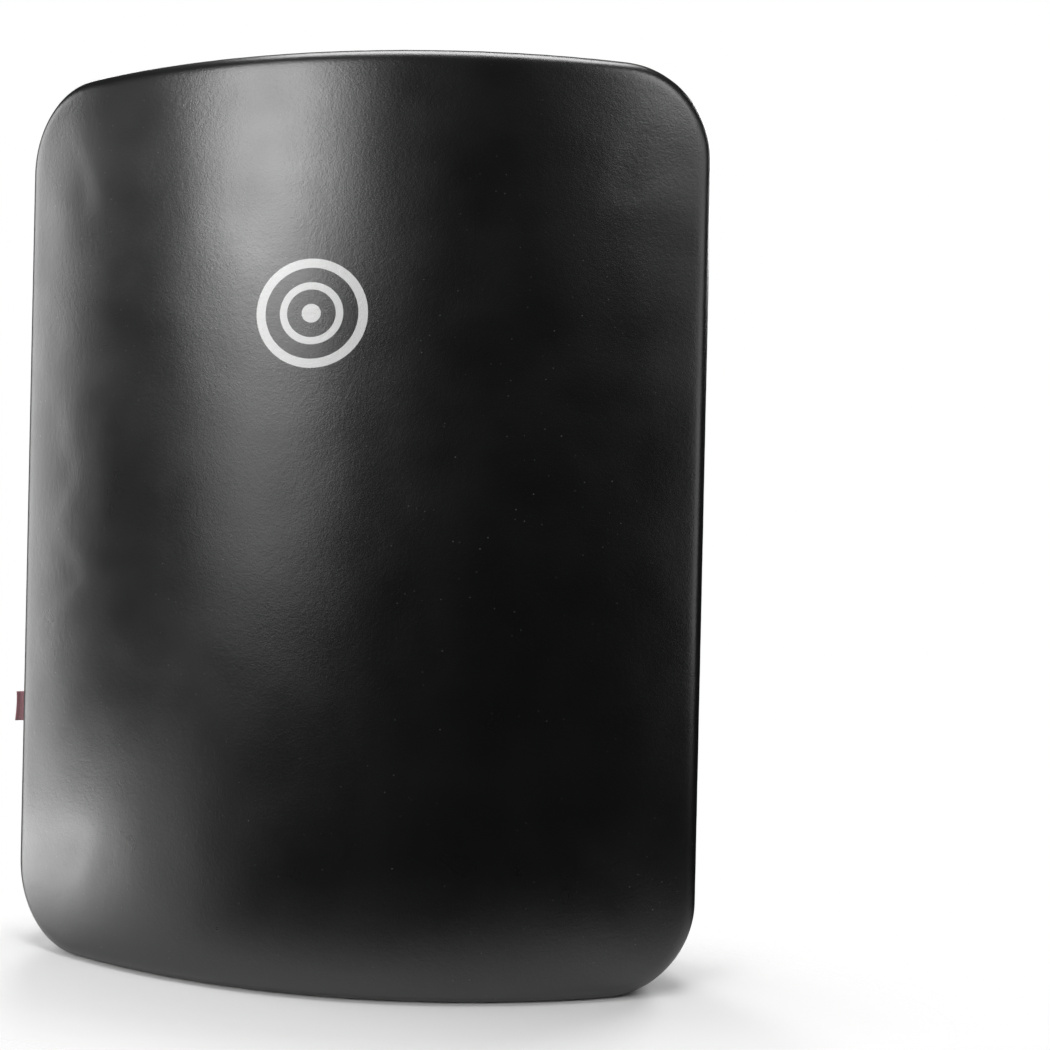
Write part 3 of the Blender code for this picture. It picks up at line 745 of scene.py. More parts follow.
def panel(half_w, half_h, corner, spacing):
    """Quads over a rounded rectangle: points (arc, height), faces and the outline's indices."""
    xs, zs = cuts(half_w, corner, spacing), cuts(half_h, corner, spacing)
    x, z = np.meshgrid(xs, zs)
    u = np.clip((np.abs(x) - (half_w - corner)) / corner, 0.0, 1.0)
    v = np.clip((np.abs(z) - (half_h - corner)) / corner, 0.0, 1.0)
    both = (u > 0) & (v > 0)
    nx = np.where(both, half_w - corner + corner * u * np.sqrt(1 - v * v / 2), np.abs(x))
    nz = np.where(both, half_h - corner + corner * v * np.sqrt(1 - u * u / 2), np.abs(z))
    points = np.stack([np.sign(x) * nx, np.sign(z) * nz], axis=-1).reshape(-1, 2)
    cols, rows = len(xs), len(zs)
    at = np.arange(cols * rows).reshape(rows, cols)
    faces = np.stack([at[:-1, :-1], at[:-1, 1:], at[1:, 1:], at[1:, :-1]], axis=-1).reshape(-1, 4)
    outline = np.concatenate([at[0, :-1], at[:-1, -1], at[-1, :0:-1], at[:0:-1, 0]])
    return points, faces, outline


def outward_at(points, half_w, half_h, corner):
    """Outward direction of a rounded rectangle's outline at points on it."""
    q = np.maximum(np.abs(points) - np.array([half_w - corner, half_h - corner]), 0.0)
    q[np.all(q < 1e-9, axis=1)] = 1.0
    return np.sign(points) * q / np.linalg.norm(q, axis=1)[:, None]


def at_depth(points, depth):
    """Layout points (arc, depth, height) from (arc, height from the middle) pairs."""
    return np.stack([points[:, 0], np.full(len(points), depth), points[:, 1] + HEIGHT / 2], 1)


def cover(inset, depth, rings, spacing):
    """Flat layout of a cover: a panel at one depth, and rings of (outset, depth) round it."""
    size = (HALF_WIDTH - inset, HEIGHT / 2 - inset, CORNER - inset)
    points, faces, outline = panel(*size, spacing)
    out = outward_at(points[outline], *size)
    flat = [at_depth(points, depth)]
    faces = [tuple(f) for f in faces]
    last, count, total = outline, len(outline), len(points)
    for outset, at in rings:
        flat.append(at_depth(points[outline] + out * outset, at))
        new = np.arange(total, total + count)
        faces += [(last[i], last[(i + 1) % count], new[(i + 1) % count], new[i])
                  for i in range(count)]
        last, total = new, total + count
    return np.concatenate(flat), faces


def rim_distance(flat):
    """How far inside the cushion's outline a layout point lies."""
    q = np.abs(flat[:, [0, 2]] - [0.0, HEIGHT / 2]) - [HALF_WIDTH - CORNER, HEIGHT / 2 - CORNER]
    outside = np.linalg.norm(np.maximum(q, 0.0), axis=1)
    return CORNER - outside - np.minimum(np.max(q, axis=1), 0.0)


def pucker(flat, seam_depth, reach, size, seed):
    """Small gathers beside a seam, fading over reach."""
    gather_pitch = 0.0095
    close = np.exp(-np.abs(flat[:, 1] - seam_depth) / reach)
    ripple = cloud(np.stack([flat[:, 0], 0 * flat[:, 0], flat[:, 2]], 1), gather_pitch, seed)
    return close * ripple * size


def soft_cap(value, low, high):
    return np.where(value > 0, high * np.tanh(value / high), low * np.tanh(value / low))


def skin(name, flat, faces, moved, normals, low, high, hold, finer):
    """Fine mesh of a cover: layout, capped cloth movement, then the relief finer(points, lay).

    low and high cap the movement inwards and outwards; hold is 0 where the cover is sewn."""
    max_slide, top_room = 0.002, 0.003
    base = bend(flat)
    lift = soft_cap((moved * normals).sum(1), low, high) * hold
    slide = moved - normals * (moved * normals).sum(1)[:, None]
    slide *= np.minimum(1.0, max_slide / np.maximum(np.linalg.norm(slide, axis=1), 1e-9)
                        )[:, None]
    points = base + normals * lift[:, None] + slide * hold[:, None]
    obj = refine(add_mesh(name, points, faces, flat))
    points, lay, fine = read(obj.data), read(obj.data, "lay"), normals_of(obj.data)
    points = points + fine * finer(points, lay)[:, None]
    points[:, 2] = np.clip(points[:, 2], 0.0, HEIGHT + top_room)
    write(obj.data, points)
    return obj


def base_normals(flat, faces, outward):
    """Point normals of the bent layout, and its faces turned outward."""
    obj = face_outward(add_mesh("layout", bend(flat), faces), outward)
    normals, order = normals_of(obj.data), [tuple(f.vertices) for f in obj.data.polygons]
    discard(obj)
    return normals, order


def turn(roll, drop, count):
    """Quarter turn over a rim, as (outset, depth from the panel) pairs."""
    angles = [radians(90 * k / count) for k in range(1, count + 1)]
    return [(roll * sin(a), drop * (1 - cos(a))) for a in angles]


def build_front():
    """Strike face skin: smooth, faintly uneven, with gathers along the front seam."""
    drop = FRONT_ROLL - 0.0012
    rings = turn(FRONT_ROLL, drop, 5) + [(FRONT_ROLL - 0.0005, drop + 0.0007),
                                         (FRONT_ROLL - 0.0020, FRONT_SEAM - 0.0003),
                                         (FRONT_ROLL - 0.0045, FRONT_SEAM - 0.0002)]
    flat, faces = cover(FRONT_ROLL, 0.0, rings, SKIN_GRID)
    normals, faces = base_normals(flat, faces, (0, -1, 0))
    pinned = flat[:, 1] > drop * 0.45
    wobble = cloud(bend(flat), size=0.11, seed=3.0) * 0.0006
    moved = settle(bend(flat) + normals * wobble[:, None], faces, pinned,
                   pressure=0.9, grow=0.0025, bending=6.0)
    hold = step(rim_distance(flat), 0.015, 0.120)

    def finer(points, lay):
        swell = (0.0005 * cloud(points, size=0.16, seed=1.7)
                 + 0.00022 * cloud(points, size=0.045, seed=5.1))
        return (swell * step(rim_distance(lay), 0.0, 0.03)
                + pucker(lay, FRONT_SEAM, reach=0.004, size=0.00045, seed=2.0))
    obj = skin("front_skin", flat, faces, moved, normals, low=0.0003, high=0.0007, hold=hold,
               finer=finer)
    thicken(obj, VINYL_T)
    finish(obj, VINYL_FRONT, "vinyl_front", "cushion", "front_cover", fill=0.95)


def sewn_spots():
    """Where the back panel is held down, as (x, z, radius)."""
    spots = []
    for side, _ in SIDES:
        x, z, w, h = UPPER_PATCH
        spots.append((side * x, z, max(w, h) / 2))
        x, z, w, h = MIDDLE_PATCH
        spots += [(side * (x - w / 5), z, h / 2), (side * (x + w / 5), z, h / 2)]
        _, place = lower_frame(side)
        for r in (0.228, 0.254):
            p = place @ Vector((r, 0.0, 0.0))
            spots.append((p.x, p.z, 0.022))
        p = arm_point(side, 0.236)
        spots.append((p.x, p.z, 0.020))
        spots += [(side * side_x(z), z, 0.014) for z in (0.502, 0.632)]
    return spots


def free_of_sewing(points, margin, reach):
    """0 where the panel is sewn to a strap or patch, 1 well away from it."""
    free = np.ones(len(points))
    for x, z, radius in sewn_spots():
        away = np.hypot(points[:, 0] - x, points[:, 2] - z) - radius
        free = np.minimum(free, step(away, margin, margin + reach))
    return free


def build_back():
    """Back skin: soft folds between the places where it is sewn, pulled in at each of them."""
    drop = BACK_ROLL - 0.0011
    rings = [(o, THICKNESS - d) for o, d in turn(BACK_ROLL, drop, 7)]
    rings += [(BACK_ROLL - 0.0005, BACK_SEAM + 0.0006), (BACK_ROLL - 0.0020, BACK_SEAM + 0.0002),
              (BACK_ROLL - 0.0045, BACK_SEAM + 0.0001)]
    flat, faces = cover(BACK_ROLL, THICKNESS, rings, SKIN_GRID)
    normals, faces = base_normals(flat, faces, (0, 1, 0))
    base = bend(flat)
    free = free_of_sewing(base, -0.003, 0.004)
    pinned = (flat[:, 1] < THICKNESS - drop * 0.55) | (free < 0.5)
    wobble = cloud(base, size=0.075, seed=8.0) * 0.0012 * free
    moved = settle(base + normals * wobble[:, None], faces, pinned,
                   pressure=1.4, grow=0.016, bending=2.5, frames=24)
    moved = moved + normals * (wobble * 1.2)[:, None]
    hold = step(rim_distance(flat), 0.010, 0.050) * free_of_sewing(base, 0.0, 0.022)

    def finer(points, lay):
        free = free_of_sewing(points, 0.0, 0.012) * step(rim_distance(lay), 0.012, 0.04)
        folds = 0.0007 * cloud(points * [1.0, 1.0, 0.55], size=0.050, seed=4.3)
        pulled = 1 - free_of_sewing(points, 0.002, 0.030)
        pulls = 0.0006 * cloud(points, size=0.016, seed=9.2) * pulled
        gather = pucker(lay, BACK_SEAM, reach=0.009, size=0.0010, seed=6.0)
        return free * (folds + pulls) + gather
    obj = skin("back_skin", flat, faces, moved, normals, low=0.0020, high=0.0060, hold=hold,
               finer=finer)
    thicken(obj, VINYL_T)
    finish(obj, VINYL_BACK, "vinyl_back", "cushion", "back_cover", fill=0.8)


def outline_loop(spacing):
    """Points and outward directions round the cushion's outline, in the flat layout."""
    hw, hh = HALF_WIDTH - CORNER, HEIGHT / 2 - CORNER
    loop = []
    for cx, cz, first, run in ((hw, -hh, -90, 2 * hh), (hw, hh, 0, 2 * hw),
                               (-hw, hh, 90, 2 * hh), (-hw, -hh, 180, 2 * hw)):
        turns = round(CORNER * pi / 2 / spacing)
        for k in range(turns + 1):
            a = radians(first + 90 * k / turns)
            loop.append((cx + CORNER * cos(a), cz + CORNER * sin(a), cos(a), sin(a)))
        a = radians(first + 90)
        steps = round(run / spacing)
        x, z = cx + CORNER * cos(a), cz + CORNER * sin(a)
        for k in range(1, steps):
            t = run * k / steps
            loop.append((x - sin(a) * t, z + cos(a) * t, cos(a), sin(a)))
    return np.array(loop)


def build_gusset():
    """Wall strip all round, crowned between its turned-in edges, with holes for the vents."""
    spacing = 0.005
    loop = outline_loop(spacing)
    edge = ((-0.0042, 0.0001), (-0.0018, 0.0002), (-0.0004, 0.0007), (0.0, 0.0016))
    inner = np.linspace(FRONT_SEAM + 0.0035, BACK_SEAM - 0.0035, 12)
    across = ([(outset, FRONT_SEAM + d) for outset, d in edge] + [(0.0, d) for d in inner]
              + [(outset, BACK_SEAM - d) for outset, d in reversed(edge)])
    lying = np.clip(-loop[:, 3], 0.0, 1.0)           # 1 on the bottom wall, which stays flat
    rings = []
    for outset, depth in across:
        t = (depth - FRONT_SEAM) / (BACK_SEAM - FRONT_SEAM)
        crown = 0.0011 * sin(pi * t) * (1 - lying)
        flat = np.stack([loop[:, 0] + loop[:, 2] * (outset + crown), np.full(len(loop), depth),
                         loop[:, 1] + HEIGHT / 2 + loop[:, 3] * (outset + crown)], 1)
        if outset >= -0.0005:
            swell = (0.0007 * cloud(bend(flat), size=0.055, seed=7.0)
                     + 0.0005 * cloud(bend(flat), size=0.020, seed=2.4)
                     ) * sin(pi * t) ** 0.7 * (1 - lying)
            seam = (pucker(flat, FRONT_SEAM, reach=0.005, size=0.0006, seed=2.0)
                    + pucker(flat, BACK_SEAM, reach=0.006, size=0.0008, seed=6.0))
            flat[:, 0] += loop[:, 2] * (swell + seam)
            flat[:, 2] += loop[:, 3] * (swell + seam)
        flat[:, 2] = np.maximum(flat[:, 2], 0.0)
        rings.append(flat)
    lay = [[(s * spacing, f[1], 0.0) for s, f in enumerate(ring)] for ring in rings]
    obj = refine(loops_mesh("side_skin", [bend(r) for r in rings], lay=lay))
    points = read(obj.data)
    points[:, 2] = np.maximum(points[:, 2], 0.0)
    write(obj.data, points)
    applied(thicken(obj, VINYL_T))
    for side, z, _ in VENTS:
        bm = bmesh.new()
        bmesh.ops.create_cone(bm, cap_ends=True, segments=32, radius1=0.0055, radius2=0.0055,
                              depth=0.012)
        combine(obj, from_bmesh("vent_cut", bm, wall_frame(side, z)))
    finish(sharp_edged(obj), VINYL_SIDE, "vinyl_side", "cushion", "side_gusset")


def build_foams():
    """Three foam layers inside the skins, with rounded edges."""
    inset, edge, spacing = 0.0045, 0.006, 0.02
    size = (HALF_WIDTH - inset - edge, HEIGHT / 2 - inset - edge, CORNER - inset - edge)
    for name, start, end in (("strike_foam", 0.0035, 0.0445), ("core_foam", 0.0455, 0.0662),
                             ("backing_foam", 0.0672, 0.0855)):
        rings = [(edge * 0.7, start + edge * 0.3), (edge, start + edge)]
        rings += [(edge, end - edge), (edge * 0.7, end - edge * 0.3), (0.0, end)]
        flat, faces = cover(inset + edge, start, rings, spacing)
        points, panel_faces, outline = panel(*size, spacing)
        ring_start = len(flat) - len(outline)
        replace = {int(o): ring_start + k for k, o in enumerate(outline)}
        back = at_depth(points, end)
        faces = list(faces) + [tuple(replace.get(int(i), len(flat) + int(i)) for i in f)
                               for f in panel_faces]
        obj = face_outward(add_mesh(f"{name}_block", bend(np.concatenate([flat, back])), faces))
        with editing(obj) as bm:
            bmesh.ops.delete(bm, geom=[v for v in bm.verts if not v.link_faces],
                             context="VERTS")
        put_lay(obj.data, read(obj.data))
        finish(obj, FOAM, "foam", "cushion", name)


# ---- vents and label ----
def wall_frame(side, z):
    """Frame on the flat side wall: local Z points out of the wall, local X along its height."""
    a = side * HALF_WIDTH / R_MID
    return frame_at(polar(a, R_FRONT - VENT_DEPTH, z), UP, Vector((cos(a), sin(a), 0.0)) * side)


def build_vents():
    """Nickel eyelets in the wall; lip is the (radius, height) outline in millimetres."""
    lip = [(4.0, -4.0), (4.0, 1.0), (4.25, 1.7), (4.8, 2.2), (5.6, 2.4), (6.6, 2.2), (7.6, 1.6),
           (8.3, 0.95), (8.5, 0.55), (8.4, 0.35), (8.0, 0.3), (5.2, 0.3), (5.2, -4.0)]
    for side, z, name in VENTS:
        place = wall_frame(side, z) @ Matrix.Translation((0, 0, 0.0008))
        ring = lathe(f"vent_ring_{name}", [(r * MM, h * MM) for r, h in lip], place)
        finish(ring, NICKEL, "eyelet_steel", "cushion", f"vent_eyelet_{name}")
        repaint(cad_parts[f"vent_washer_{name}"], CAD_NICKEL)


def build_label():
    """Folded woven tab caught in the front seam, leaning towards the strike face."""
    a = -HALF_WIDTH / R_MID
    out, inwards = Vector((-cos(a), -sin(a), 0.0)), Vector((-sin(a), cos(a), 0.0))
    place = frame_at(polar(a, R_FRONT - (FRONT_SEAM + 0.0009), LABEL_Z), out, inwards)
    root, reach, fold_r = 0.0030, LABEL_OUT - 0.0004, 0.00045
    columns, rows, fade_back = 12, 15, 0.6
    run = [-root + (reach + root) * k / columns for k in range(columns + 1)]
    profile = ([(u, 1) for u in run]
               + [(reach + fold_r * sin(radians(b)), cos(radians(b))) for b in range(30, 180, 30)]
               + [(u, -1) for u in reversed(run)])
    rings, lay = [], []
    for k in range(rows + 1):
        v = (k / rows - 0.5) * LABEL_H
        ring = []
        for u, s in profile:
            wave = 0.0007 * sin(120 * v + 60 * u) * (u / reach) ** 2 if u > 0 else 0.0
            apart = 0.00055 + 0.0005 * max(0.0, sin(pi * u / reach)) if u > 0 else 0.0004
            bent = LABEL_BEND * max(u - 0.002, 0.0) / reach
            ring.append(place @ Vector((
                u - s * apart * sin(bent) - u * (1 - cos(bent)) * fade_back, v,
                s * apart * cos(bent) + wave - u * sin(bent) * fade_back)))
        rings.append(ring)
        lay.append([(u, v, s * MM) for u, s in profile])
    obj = loops_mesh("label_loop", rings, closed=False, lay=lay)
    thicken(obj, 0.00028, 0.0)
    finish(obj, LABEL_CLOTH, "label_cloth", "cushion", "label_tab")


# ---- grips ----
def fade(first, last, count):
    return [first.lerp(last, k / (count - 1)).normalized() for k in range(count)]


def riser(low, low_dir, high, high_dir, reach, steps):
    """Smooth rise of webbing from a sewn-down run to a free run."""
    return interpolate_bezier(low, low + low_dir * reach, high - high_dir * reach, high, steps)


def grip_stations(sewn_a, grip_start, grip_end, sewn_b, normal):
    """Stations of a grip's webbing: sewn down, up to the grip, through it and down again."""
    reach, steps, spacing = 0.008, 7, 0.0035
    along = (grip_end - grip_start).normalized()
    leave, arrive = sewn_a[-1], sewn_b[0]
    up = riser(leave, (leave - sewn_a[-2]).normalized(), grip_start, along, reach, steps)
    down = riser(grip_end, along, arrive, (sewn_b[1] - arrive).normalized(), reach, steps)
    points = sewn_a[:-1] + up + down + sewn_b[1:]
    normals = ([back_normal(p.x) for p in sewn_a[:-1]]
               + fade(back_normal(leave.x), normal, steps)
               + fade(normal, back_normal(arrive.x), steps)
               + [back_normal(p.x) for p in sewn_b[1:]])
    return stations_along(points, normals, spacing)


def oval(theta, half_w, half_t, power=0.90):
    c, s = cos(theta), sin(theta)
    return (half_w * abs(c) ** power * (1 if c >= 0 else -1),
            half_t * abs(s) ** power * (1 if s >= 0 else -1))


def bell(x, middle, width):
    return float(np.exp(-((x - middle) / width) ** 2))


def sleeve_rings(place, half, seed):
    """Vinyl wrapped round a foam core: stitched collars, gathers at the ends, a back seam."""
    spokes, rows, end = 56, 62, 0.003
    slit = (0.0138, 0.0020)            # half width and thickness of the closed end
    closing = ((0.0012, 0.06), (0.0022, 0.20), (0.0028, 0.42), (0.0030, 0.70), (0.0022, 1.0))
    stations = ([(-half + end - d, c) for d, c in reversed(closing)]
                + [(-half + end + (2 * half - 2 * end) * k / rows, 0.0) for k in range(rows + 1)]
                + [(half - end + d, c) for d, c in closing])
    rings, lay = [], []
    for s, closed in stations:
        from_end = half - abs(s)
        collar = 0.0005 * float(1 - step(from_end, 0.0125, 0.0135))
        groove = -0.0007 * bell(from_end, 0.0140, 0.0009)
        pinch = 1.0 - 0.055 * float(1 - step(from_end, 0.004, 0.030))
        ring, flat = [], []
        for a in full_turn(spokes):
            y, z = oval(a, GRIP_W / 2 * pinch, GRIP_T / 2 * pinch)
            sy, sz = oval(a, *slit)
            here = Vector((s, y, z)) * 30 + Vector((seed, 0, 0))
            gather = 0.00055 * noise.noise(Vector((7 * a / pi * 2, seed, 0.3))) * float(
                np.exp(-from_end / 0.012))
            uneven = 0.00045 * noise.noise(here) + 0.00025 * noise.noise(here * 3.1)
            ridge = 0.0008 * bell(a, 1.5 * pi, 0.16)
            out = Vector((0.0, cos(a), sin(a))) * (collar + groove + gather + uneven + ridge
                                                   ) * (1 - closed)
            fold = 0.0012 * sin(9 * a + seed) * closed * (1 - closed) * 3
            point = Vector((s, y * (1 - closed) + sy * closed, z * (1 - closed) + sz * closed))
            point += out + Vector((fold * (1 if s < 0 else -1) * 0.4, 0.0, 0.0))
            ring.append(place @ point)
            flat.append((s, a * 0.0145, 0.0))
        rings.append(ring)
        lay.append(flat)
    return rings, lay


def build_grip(name, place, half, stations, seed):
    """One grip: sleeve, its stitches, a foam roll in two halves and the webbing through it."""
    body = f"{name}_grip"
    rings, lay = sleeve_rings(place, half, seed)
    sleeve = thicken(loops_mesh(f"{body}_cover", rings, lay=lay), 0.0010)
    finish(sleeve, VINYL_GRIP, "grip_vinyl", body, f"{body}_sleeve", fill=0.9)

    def spot(s, a):
        y, z = oval(a, GRIP_W / 2 + 0.0004, GRIP_T / 2 + 0.0004)
        return (place @ Vector((s, y, z)),
                (place.to_3x3() @ Vector((0.0, y / GRIP_W ** 2, z / GRIP_T ** 2))).normalized())
    collar, seam_end = half - 0.0107, half - 0.017
    pairs = [((s, a), (s, b)) for s in (-collar, collar) for a, b in round_seam(26)]
    for a in (1.5 * pi - 0.22, 1.5 * pi + 0.22):
        pairs += along_line([(-seam_end, a), (seam_end, a)])
    stitch(f"{body}_stitches", spot, pairs, BLACK_THREAD, "grip_vinyl", body, 0.00026)

    skin_room, web_room = 0.0022, 0.0012
    ends = ((-half + 0.006, 0.80), (-half + 0.009, 0.95), (half - 0.009, 0.95),
            (half - 0.006, 0.80))
    halves = []
    for sign in (-1, 1):
        for s, scale in ends:
            ring = [oval(pi * k / 24, (GRIP_W / 2 - skin_room) * scale,
                         (GRIP_T / 2 - skin_room) * scale) for k in range(25)]
            halves.append([place @ Vector((s, y, sign * max(z, web_room))) for y, z in ring])
    foam = joined(loops_mesh(f"{body}_core", halves[:4], capped=True),
                  loops_mesh("half", halves[4:], capped=True))
    finish(foam, FOAM, "foam", body, f"{body}_foam")

    strap = webbing(f"{body}_webbing", stations, GRIP_WEB_W, None, f"{body}_strap")
    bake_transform(strap)


def joined(obj, other):
    """Adds the other mesh's faces to obj and removes it."""
    with editing(obj) as bm:
        bm.from_mesh(other.data)
    bpy.data.objects.remove(other)
    put_lay(obj.data, read(obj.data))
    obj.data.shade_smooth()
    return obj


def build_top_grip():
    along = Vector((1.0, 0.0, 0.0))
    y, z = on_back(0.0, 0.0, TOP_GRIP_LIFT).y, TOP_GRIP_Z
    px, _, pw, _ = UPPER_PATCH
    leave, end = px - pw / 2 - 0.001, px + pw / 2 - 0.004
    sewn = [on_back(leave + (end - leave) * k / 3, z, LAY) for k in range(4)]
    mirrored = [Vector((-p.x, p.y, p.z)) for p in reversed(sewn)]
    stations = grip_stations(mirrored, Vector((-TOP_GRIP_HALF - 0.001, y, z)),
                             Vector((TOP_GRIP_HALF + 0.001, y, z)), sewn, TO_USER)
    place = frame_at(Vector((0.0, y, z)), along, TO_USER)
    build_grip("top", place, TOP_GRIP_HALF, stations, 1.0)


def side_x(z):
    """Lateral position of a side grip's sewn line at height z."""
    (x0, z0), (x1, z1) = SIDE_TOP, SIDE_LOW
    return x0 + (x1 - x0) * (z - z0) / (z1 - z0)


def build_side_grip(side, name):
    top_leave = UPPER_PATCH[1] - UPPER_PATCH[3] / 2 - 0.006
    low_leave = MIDDLE_PATCH[1] + MIDDLE_PATCH[3] / 2 + 0.006
    a = on_back(side * side_x(top_leave), top_leave, 0.002)
    b = on_back(side * side_x(low_leave), low_leave, 0.002)
    along = (b - a).normalized()
    normal = back_normal((a.x + b.x) / 2)
    normal = (normal - normal.dot(along) * along).normalized()
    hinge = (a + b) / 2
    centre = hinge + normal * (SIDE_GRIP_LIFT - 0.002)
    reach = along * (SIDE_GRIP_HALF + 0.001)
    sewn = [[on_back(side * side_x(z), z, LAY) for z in levels]
            for levels in ((0.640, 0.630, top_leave), (low_leave, 0.508, 0.4975))]
    stations = grip_stations(sewn[0], centre - reach, centre + reach, sewn[1], normal)
    build_grip(name, frame_at(centre, along, normal), SIDE_GRIP_HALF, stations, 3.0 + side)


# ---- patches and rivets ----
def strap_cover(x, z):
    """1 above webbing that runs under a patch, 0 beside it; x is measured from the middle."""
    def beside(away, width, near=0.001, far=0.006):
        return step(away, width / 2 + far, width / 2 + near)
    x = abs(x)
    top = beside(abs(z - TOP_GRIP_Z), GRIP_WEB_W)
    top *= step(x, UPPER_PATCH[0] + 0.024, UPPER_PATCH[0] + 0.019)
    (x0, z0), (x1, z1) = SIDE_TOP, SIDE_LOW
    away = abs((x - x0) * (z1 - z0) - (z - z0) * (x1 - x0)) / hypot(x1 - x0, z1 - z0)
    side = beside(away, GRIP_WEB_W) * step(z, 0.648, 0.643)
    arm_x, arm_z = ARM_END * ARM_DIR[0], HUB_Z + ARM_END * ARM_DIR[1]
    arm = beside(abs((x - arm_x) * ARM_DIR[1] - (z - arm_z) * ARM_DIR[0]), ARM_WEB_W)
    arm *= step((x - arm_x) * ARM_DIR[0] + (z - arm_z) * ARM_DIR[1], 0.006, 0.001)
    return float(max(top, side * (z > 0.495), arm))


def build_patch(name, side, spec, seed, node):
    """Vinyl patch sewn over webbing ends: its edge dips to the panel, its middle puffs up."""
    cx, cz, w, h = spec
    cx *= side
    seam = 0.004                       # the stitch line's distance from the patch's edge
    stitch_u, stitch_v = w / 2 - seam, h / 2 - seam

    def lift(u, v):
        edge = min(w / 2 - abs(u), h / 2 - abs(v))
        rim = 0.0016 + 0.0022 * strap_cover(cx + u, cz + v)
        at = Vector((u, v, seed))
        puff = (0.0009 * noise.noise(at * 70) + 0.0008 * (0.3 - abs(noise.noise(at * 120)))
                + 0.0004 * noise.noise(at * 260))
        to_cross = min(abs(u * stitch_v - v * stitch_u), abs(u * stitch_v + v * stitch_u)
                       ) / hypot(stitch_u, stitch_v)
        sewn = exp(-((edge - seam) / 0.0012) ** 2) + exp(-(to_cross / 0.0022) ** 2)
        high = rim + (PATCH_TOP + 0.0003 - rim) * float(step(edge, 0.0, 0.0060))
        return high + puff * float(step(edge, 0.003, 0.009)) - 0.0006 * min(sewn, 1.0)

    points, faces, _ = panel(w / 2, h / 2, 0.006, 0.0014)
    made = [on_back(cx + u, cz + v, lift(u, v)) for u, v in points]
    obj = add_mesh(name, made, faces, [(u + seed, v, 0.0) for u, v in points])
    thicken(face_outward(obj, back_normal(cx)), VINYL_T)
    finish(obj, VINYL_PATCH, "vinyl_side", "cushion", node)

    def spot(u, v):
        return on_back(cx + u, cz + v, lift(u, v) + 0.0001), back_normal(cx + u)
    stitch(f"{name}_stitches", spot, box_cross(stitch_u, stitch_v), GREY_THREAD, "webbing")


def build_rivet(name, x, z, node):
    """Domed rivet; dome is its (radius, height) outline in millimetres."""
    dome = [(0.0, 2.5), (0.9, 2.46), (1.8, 2.30), (2.7, 2.0), (3.5, 1.5), (4.1, 0.95),
            (4.45, 0.45), (4.5, 0.15), (4.3, 0.0), (1.7, 0.0), (1.7, -3.0), (0.0, -3.0)]
    place = frame_at(on_back(x, z, PATCH_TOP + 0.0004), UP, back_normal(x))
    obj = lathe(name, [(r * MM, h * MM) for r, h in dome], place, 36)
    finish(obj, NICKEL, "eyelet_steel", "cushion", node)


# ---- harness ----
def arm_point(side, r, y=HARNESS_Y):
    return Vector((side * r * ARM_DIR[0], y, HUB_Z + r * ARM_DIR[1]))


def lower_frame(side):
    """Local X runs from the hub centre down to the lower anchor, local Z faces the user."""
    along = Vector((side * LOW_ANCHOR[0], 0.0, LOW_ANCHOR[1] - HUB_Z)).normalized()
    return along, frame_at(Vector((0.0, HARNESS_Y, HUB_Z)), along, TO_USER)


def arm_strap_stations(side, along):
    """From under the hub, through the padded sleeve and down to the middle patch."""
    lay = [on_back(p.x, p.z, LAY) for p in (arm_point(side, r) for r in (0.224, 0.236, ARM_END))]
    points = [arm_point(side, STRAP_START), arm_point(side, 0.060)]
    down = (lay[1] - lay[0]).normalized()
    points += riser(arm_point(side, ARM_SLEEVE[1]), along, lay[0], down, 0.005, 7) + lay[1:]
    normals = [TO_USER, TO_USER] + fade(TO_USER, back_normal(lay[0].x), 7)
    normals += [back_normal(p.x) for p in lay[1:]]
    return stations_along(points, normals, 0.004)


